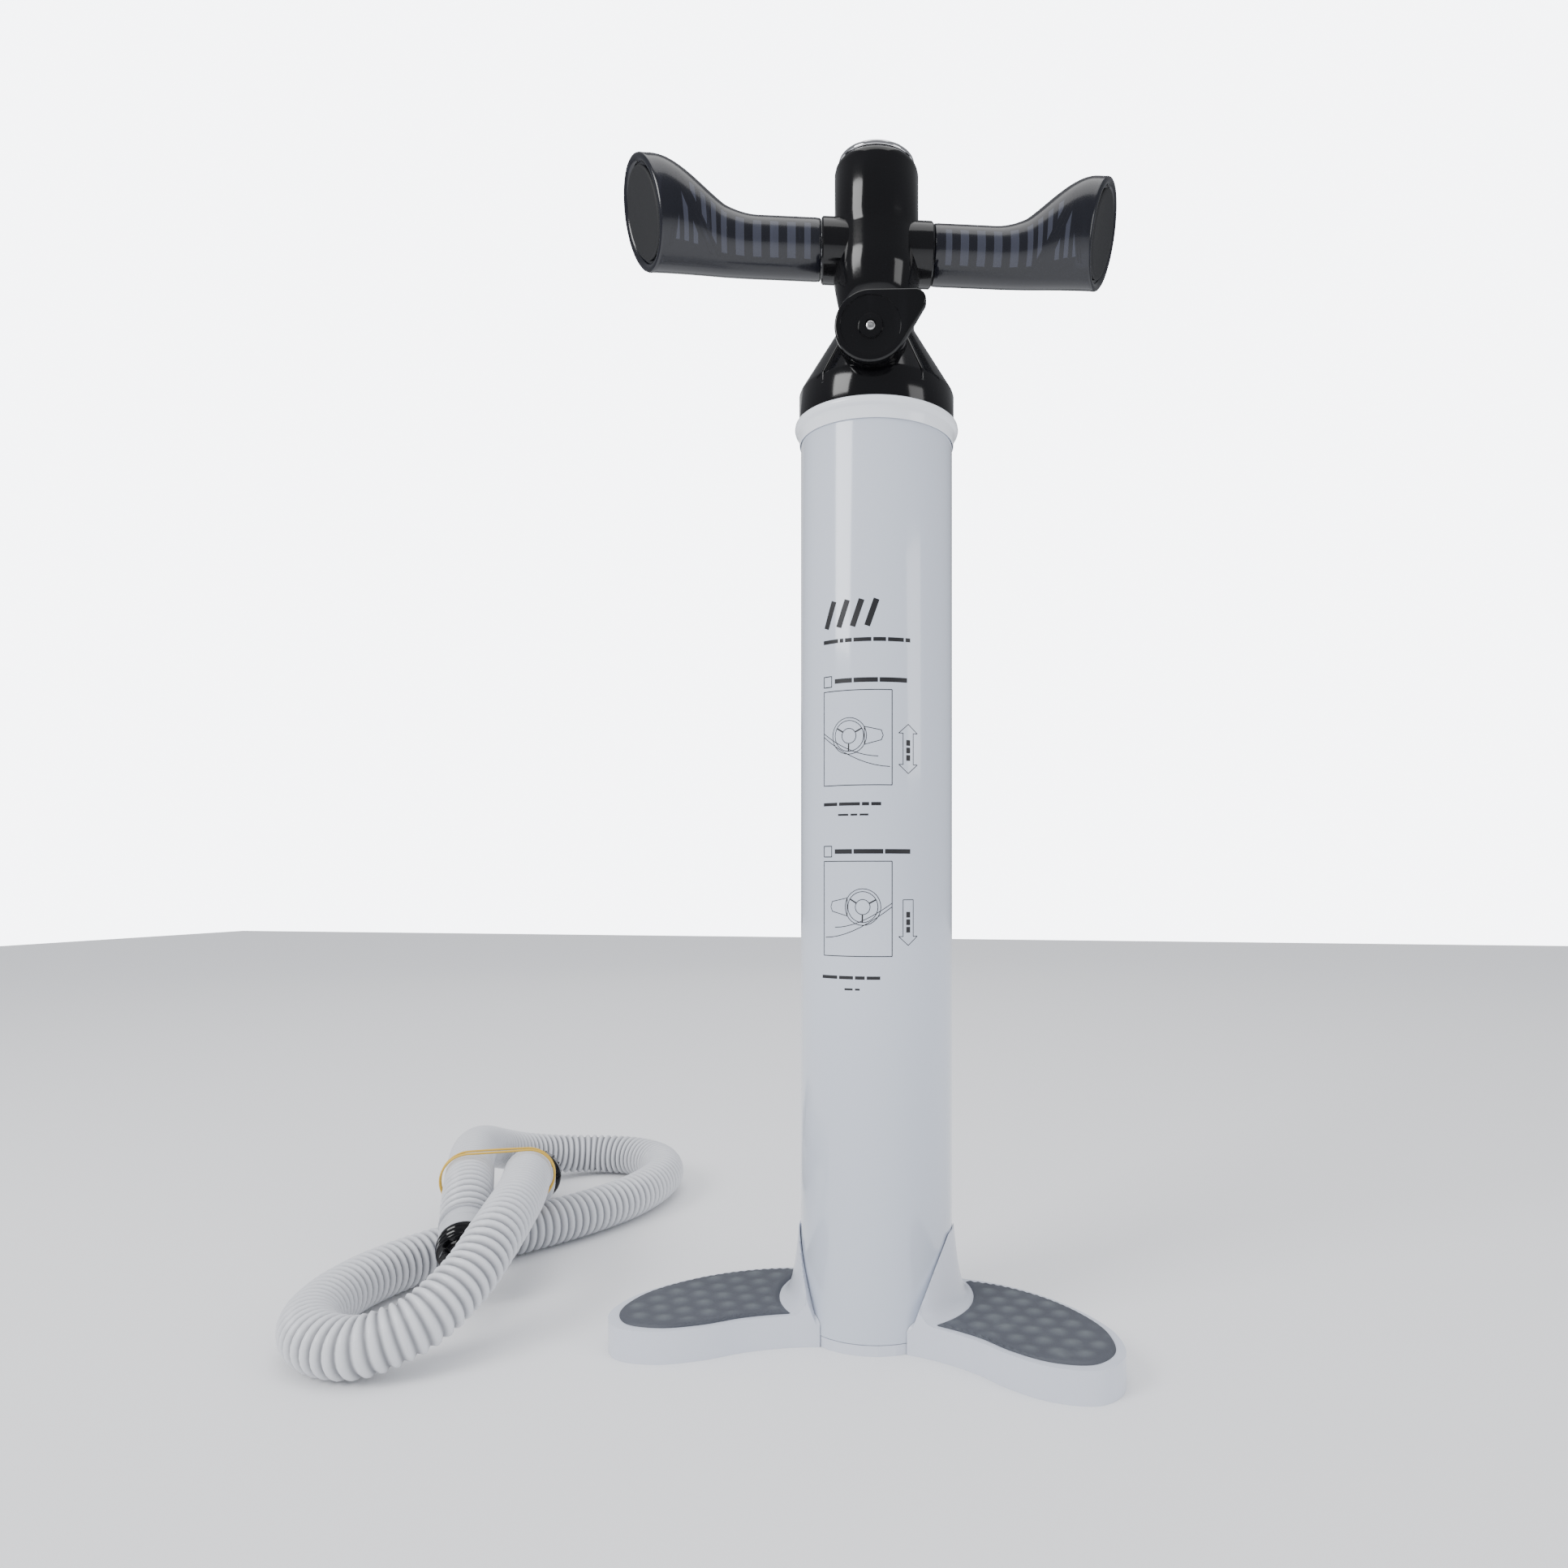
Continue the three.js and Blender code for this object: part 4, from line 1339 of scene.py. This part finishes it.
        form = Form.draped(count, self.grip_sides, place)
        start, span = self.reach + self.gap, self.grip_end - self.reach - self.gap
        for face in form.mesh.faces:
            for loop in face.loops:
                x, y, z = loop.vert.co
                t = (x - start) / span
                for _ in range(8):
                    t = (x - start - self.drawn_in(y, z, t)) / span
                half, middle, _ = self.section(min(max(t, 0.0), 1.0))
                loop[form.uv].uv = (t, 0.5 + (z - middle) / half / 2)
        return form.capped()

    def inlay(self) -> Form:
        """The oval rubber inlay in the grip's outer end, with a soft rim and a shallow hollow.

        Returns:
            The inlay, before the handle's turn.
        """
        stations = [(0.3, -1.9), (0.78, -1.9), (0.8, -1.5), (0.8, -0.7), (0.785, -0.3), (0.75, -0.1), (0.68, -0.25),
                    (0.5, -0.7), (0.25, -0.95), (0.02, -1.0)]
        count = len(stations) - 1

        def place(u: float, v: float) -> Vector:
            """A point of the inlay's skin.

            Args:
                u: The share of the stations.
                v: The share of the way round.

            Returns:
                The point.
            """
            share, push = stations[round(u * count)]
            return self.on_grip(1.0, math.tau * v, share, push)

        return Form.draped(count, self.grip_sides, place).capped()

    def gauge(self) -> None:
        """The gauge's case, dial with its marks, needle, bezel and domed lens."""
        case = Form.turned([(0, 674.3), (21.2, 674.3), (21.2, 688.2), (19, 688.2), (19, 676.7), (0, 676.7)],
                           96).softened(0.3, 2)
        case.moved(self.seat).piece("gauge_cup", GLOSS_BLACK, Body.HANDLE, "gauge_case")
        dial = Form.turned([(0, 677), (18.7, 677), (18.7, 677.9), (0, 677.9)], 96)
        dial.moved(self.seat).piece("gauge_face", DIAL_WHITE, Body.HANDLE, "gauge_dial")
        marks = Form()
        for i in range(31):
            long = i % 5 == 0
            mark = Form.block((12.6 if long else 14.2, -0.28 if long else -0.14, 677.91),
                              (16.2, 0.28 if long else 0.14, 677.98))
            marks.joined(mark.moved(Matrix.Rotation(math.radians(-45 + 9 * i), 4, "Z")))
        marks.moved(self.seat).piece("gauge_marks", INK, Body.HANDLE)
        bezel = Form.turned([(18.9, 689.3), (22.4, 689.3), (22.8, 690), (22.6, 691.6), (21.6, 692.6), (20.2, 692.9),
                             (19.2, 692.3), (18.9, 691.2)], 112).softened(0.3, 2, 18)
        bezel.moved(self.seat).piece("bezel", CHROME, Body.HANDLE, "gauge_bezel", crease=50)
        lens = Form.turned([(0, 688.6), (18.5, 688.6), (18.6, 688.9), (18.6, 691.8), (17.6, 693), (15, 694.2),
                            (11, 695.2), (6, 695.8), (0, 696)], 96)
        lens.moved(self.seat).piece("lens", LENS, Body.HANDLE, "gauge_lens", crease=50)


# ---------------------------------------------------------------- the foot


@dataclass
class Foot:
    """The two wings that the user stands on, each with its grey tread."""

    column: float = 45.3
    top: float = 18.0
    edge: float = 7.0
    saddle: float = 64.0
    climb: float = 60.0
    share: float = 0.9
    pitch: float = 14.5
    skin: float = 3.5
    side_plane: float = 22.0
    side_slope: float = 0.366
    tread_gap: float = 0.1
    tread_rise: float = 2.4
    tread_clear: float = 57.5
    wing_grid: tuple[int, int] = (128, 40)
    tread_grid: tuple[int, int] = (150, 110)
    spot: Point = (92.0, -26.0)
    outline: tuple[Point, ...] = (
        (16, -36), (40, -42), (64, -53), (85, -68), (109, -78), (132, -76), (143.5, -59), (140, -32), (123, -6),
        (98, 16), (66, 31), (16, 37))
    rim: list[Vector] = field(default_factory=list)

    def build(self) -> None:
        """Makes both wings and treads."""
        line = [p for p in spline(self.outline, 24) if p.length >= self.column]
        self.rim = evened(line, self.wing_grid[0])
        for side in Side:
            hand = Matrix.Identity(4) if side is Side.RIGHT else MIRROR
            self.wing().moved(hand).piece(f"wing_{side.word}", FOOT_WHITE, Body.BARREL, f"foot_wing_{side.word}",
                                          crease=40)
            self.tread().moved(hand).piece(f"tread_{side.word}", TREAD_GREY, Body.BARREL, f"foot_pad_{side.word}",
                                           crease=60)

    def inside(self, x: float, y: float) -> float:
        """How far a point lies from the wing's outer edge.

        Args:
            x: The point's X.
            y: The point's Y.

        Returns:
            The distance.
        """
        best = 1e9
        for a, b in zip(self.rim, self.rim[1:]):
            run = b - a
            t = min(1.0, max(0.0, ((x - a.x) * run.x + (y - a.y) * run.y) / run.length_squared))
            best = min(best, math.hypot(x - a.x - run.x * t, y - a.y - run.y * t))
        return best

    def height(self, x: float, y: float) -> float:
        """The wing's height over a point: a round edge, a flat top and a root that climbs the barrel.

        Args:
            x: The point's X.
            y: The point's Y.

        Returns:
            The height.
        """
        depth = min(self.inside(x, y), self.edge)
        plate = self.top - self.edge + math.sqrt(max(0.0, self.edge**2 - (self.edge - depth) ** 2))
        radius = math.hypot(x, y)
        rise = max(0.0, (self.saddle - radius) / (self.saddle - self.column - 0.8))
        root = self.top + (self.climb - self.top) * min(rise, 1.0) ** 5
        wedge = (x - self.side_plane) / self.side_slope - 2
        return max(plate, min(root, wedge, self.climb))

    def wing(self) -> Form:
        """The right wing, drawn between the barrel and its outer edge and hollow below.

        Returns:
            The wing.
        """
        first, last = self.rim[0], self.rim[-1]
        start, stop = math.atan2(first.y, first.x), math.atan2(last.y, last.x)

        def place(u: float, v: float) -> Vector:
            """A point of the wing's top and sides.

            Args:
                u: The share of the way along the rim.
                v: The share of the way out to the rim.

            Returns:
                The point.
            """
            out = self.rim[round(u * self.wing_grid[0])]
            turn = start + (stop - start) * u
            inner = Vector((self.column * math.cos(turn), self.column * math.sin(turn)))
            if v < 0.04:
                return Vector((inner.x, inner.y, 0))
            if v > 0.96:
                return Vector((out.x, out.y, 0))
            share = (v - 0.05) / 0.9
            share = 0.5 - 0.5 * math.cos(math.pi * min(1.0, max(0.0, share)))
            spot = inner.lerp(out.xy, share)
            return Vector((spot.x, spot.y, self.height(spot.x, spot.y)))

        form = Form.draped(*self.wing_grid, place).capped()
        cx, cy = self.spot
        inner = [(cx + (p.x - cx) * self.share, cy + (p.y - cy) * self.share)
                 for p in evened(spline(self.outline, 24), 90)]
        hollow = Form.slab(inner, -1, self.top - self.skin).carved(Form.drum(56, -2, 30, 64))
        cuts = [hollow, Form.block((0, -11.3, -1), (78.3, 11.3, 3.3))]
        cuts += [Form.drum(1.9, 0, 12.5, 16).moved(Matrix.Translation((66, y, 0))) for y in (-6, 6)]
        return form.carved(*cuts)

    def tread(self) -> Form:
        """The tread: a mat with a soft edge, a slight dish and rows of low domes.

        Returns:
            The tread, with its domes as an attribute.
        """
        low, rise, clear = self.top + self.tread_gap, self.tread_rise, self.tread_clear
        cx, cy = self.spot
        ring = [Vector((cx + (p.x - cx) * self.share, cy + (p.y - cy) * self.share))
                for p in spline(self.outline, 24)]
        rim = evened([p for p in ring if p.length >= clear], self.tread_grid[0])
        start, stop = math.atan2(rim[0].y, rim[0].x), math.atan2(rim[-1].y, rim[-1].x)
        domes: dict[tuple[float, float], float] = {}

        def place(u: float, v: float) -> Vector:
            """A point of the tread's top and sides.

            Args:
                u: The share of the way along the rim.
                v: The share of the way out to the rim.

            Returns:
                The point.
            """
            out = rim[round(u * self.tread_grid[0])]
            turn = start + (stop - start) * u
            inner = Vector((clear * math.cos(turn), clear * math.sin(turn)))
            if v < 0.01 or v > 0.99:
                side = inner if v < 0.5 else out
                return Vector((side.x, side.y, low))
            spot = inner.lerp(out, (v - 0.01) / 0.98)
            depth = min((spot - out).length, spot.length - clear)
            for p in rim[::3]:
                depth = min(depth, (spot - p).length)
            soft = 1 - (1 - min(depth, 3.0) / 3.0) ** 2
            dome = self.dome(spot.x, spot.y) * min(1.0, max(0.0, (depth - 2) / 5))
            domes[(round(spot.x, 3), round(spot.y, 3))] = dome
            return Vector((spot.x, spot.y, low + 0.3 + (rise - 1.0) * soft + 0.8 * dome))

        form = Form.draped(*self.tread_grid, place).capped()
        layer = form.mesh.verts.layers.float.new("dome")
        for vertex in form.mesh.verts:
            vertex[layer] = domes.get((round(vertex.co.x, 3), round(vertex.co.y, 3)), 0.0)
        return form

    def dome(self, x: float, y: float) -> float:
        """The height share of the nearest dome of a staggered pattern.

        Args:
            x: The point's X.
            y: The point's Y.

        Returns:
            The share, 1 on a dome's top.
        """
        row = self.pitch * math.sqrt(3)
        best = 1e9
        for shift in (0.0, 0.5):
            px = (x / self.pitch + shift + 0.5) % 1 - 0.5
            py = (y / row + shift + 0.5) % 1 - 0.5
            best = min(best, math.hypot(px * self.pitch, py * row))
        share = max(0.0, 1 - best / (self.pitch * 0.5))
        return share * share * (3 - 2 * share)


# ---------------------------------------------------------------- what the frame carries


@dataclass
class Inside:
    """The CAD nodes whose own shape shows, which only need a finish."""

    finishes: dict[str, Finish] = field(default_factory=lambda: {
        "base_plug": FOOT_WHITE, "intake_valve_flap": RUBBER, "head_seal": RUBBER, "valve_plate": FOOT_WHITE,
        "head_valve_flap": RUBBER, "rod_seal": RUBBER, "rod_bush": FOOT_WHITE, "selector_seal": RUBBER,
        "wing_screw_right_1": STEEL, "wing_screw_right_2": STEEL, "wing_screw_left_1": STEEL,
        "wing_screw_left_2": STEEL, "piston_core": FOOT_WHITE, "piston_seal_1": RUBBER, "piston_seal_2": RUBBER,
        "piston_valve_flap": RUBBER, "piston_rod": ALLOY, "rod_pin": STEEL, "handle_core": ALLOY,
        "gauge_needle": NEEDLE_RED})

    def build(self, nodes: dict[str, bpy.types.Object]) -> None:
        """Dresses the nodes.

        Args:
            nodes: The frame's nodes by name.
        """
        for name, finish in self.finishes.items():
            slots = nodes[name].data.materials
            slots.clear()
            slots.append(finish.material())
            LOG.info("%s: %s", name, finish.name)


@dataclass
class Studio:
    """The camera, the floor and the soft lights."""

    distance: float = 0.65
    eye: float = 0.267
    azimuth: float = 11.5
    lens: float = 25.0
    shift: Point = (-0.059, 0.059)
    aim: Spot = (-0.05, 0.0, 0.33)
    sky_colour: Colour = (0.93, 0.95, 1.0)
    sky_light: float = 1.1
    sky_gloss: float = 0.3
    sky_seen: float = 7.0
    panels: tuple[tuple[str, Spot, float, float], ...] = (
        ("key", (-1.3, -1.5, 1.5), 0.9, 26.0), ("fill", (1.9, -0.7, 1.0), 0.8, 7.0),
        ("top", (0.0, -0.2, 2.2), 1.4, 12.0), ("back", (-0.9, 1.9, 1.3), 1.2, 2.0))

    def camera(self) -> None:
        """Sets up the camera, level with its picture plane upright."""
        data = bpy.data.cameras.new("camera")
        data.sensor_width = 36.0
        data.lens = self.lens
        data.shift_x, data.shift_y = self.shift
        data.clip_start = 0.01
        made = bpy.data.objects.new("camera", data)
        bpy.context.scene.collection.objects.link(made)
        turn = math.radians(self.azimuth)
        made.location = (self.distance * math.sin(turn), -self.distance * math.cos(turn), self.eye)
        made.rotation_euler = (math.pi / 2, 0, turn)
        bpy.context.scene.camera = made

    def lights(self) -> None:
        """Lays the floor, and lights the scene with large soft panels and a pale sky."""
        floor = Form.block((-4000, -4000, -20), (4000, 4000, -0.02)).thing("floor", METRE)
        floor.data.materials.append(Finish("floor_paint", None, (0.92, 0.92, 0.925), (0.9, 0.9, 0.905), 0.8,
                                           0.05, scuffs=0.0, cloud=2.0, grain_depth=0.0).material())
        floor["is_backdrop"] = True
        for panel in self.panels:
            self.panel(*panel)
        world = bpy.data.worlds.new("sky")
        world.use_nodes = True
        hand = Nodes(world.node_tree)
        sky = world.node_tree.nodes["Background"]
        sky.inputs[0].default_value = (*self.sky_colour, 1)
        rays = hand.add("ShaderNodeLightPath").outputs
        lit = hand.math("MULTIPLY_ADD", rays["Is Glossy Ray"], self.sky_gloss - self.sky_light, self.sky_light)
        strength = hand.math("MULTIPLY_ADD", rays["Is Camera Ray"], self.sky_seen - self.sky_light, lit)
        hand.feed(sky.inputs[1], strength)
        bpy.context.scene.world = world

    def panel(self, name: str, at: Sequence[float], size: float, power: float) -> None:
        """A square light that faces the middle of the pump.

        Args:
            name: The light's name.
            at: Where it stands, in metres.
            size: Its side, in metres.
            power: Its power, in watts.
        """
        data = bpy.data.lights.new(name, "AREA")
        data.size = size
        data.energy = power
        made = bpy.data.objects.new(name, data)
        bpy.context.scene.collection.objects.link(made)
        made.location = at
        aim = Vector(self.aim) - Vector(at)
        made.rotation_euler = aim.to_track_quat("-Z", "Y").to_euler()


def corners(bounds: Iterable[Iterable[float]]) -> list[list[float]]:
    """A box as plain lists of numbers."""
    return [[float(value) for value in corner] for corner in bounds]


def main() -> None:
    """Builds the pump on its frame."""
    logging.basicConfig(level=logging.INFO, format="%(name)s %(message)s")
    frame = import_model()
    cad_box = corners(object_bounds())
    studio = Studio()
    studio.camera()
    Hose().build()
    Barrel().build()
    Head().build()
    Handle().build()
    Foot().build()
    Inside().build(frame["nodes"])
    studio.lights()
    bpy.context.view_layer.update()
    {"cad": cad_box, "visual": corners(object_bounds())}


if __name__ == "__main__":
    main()
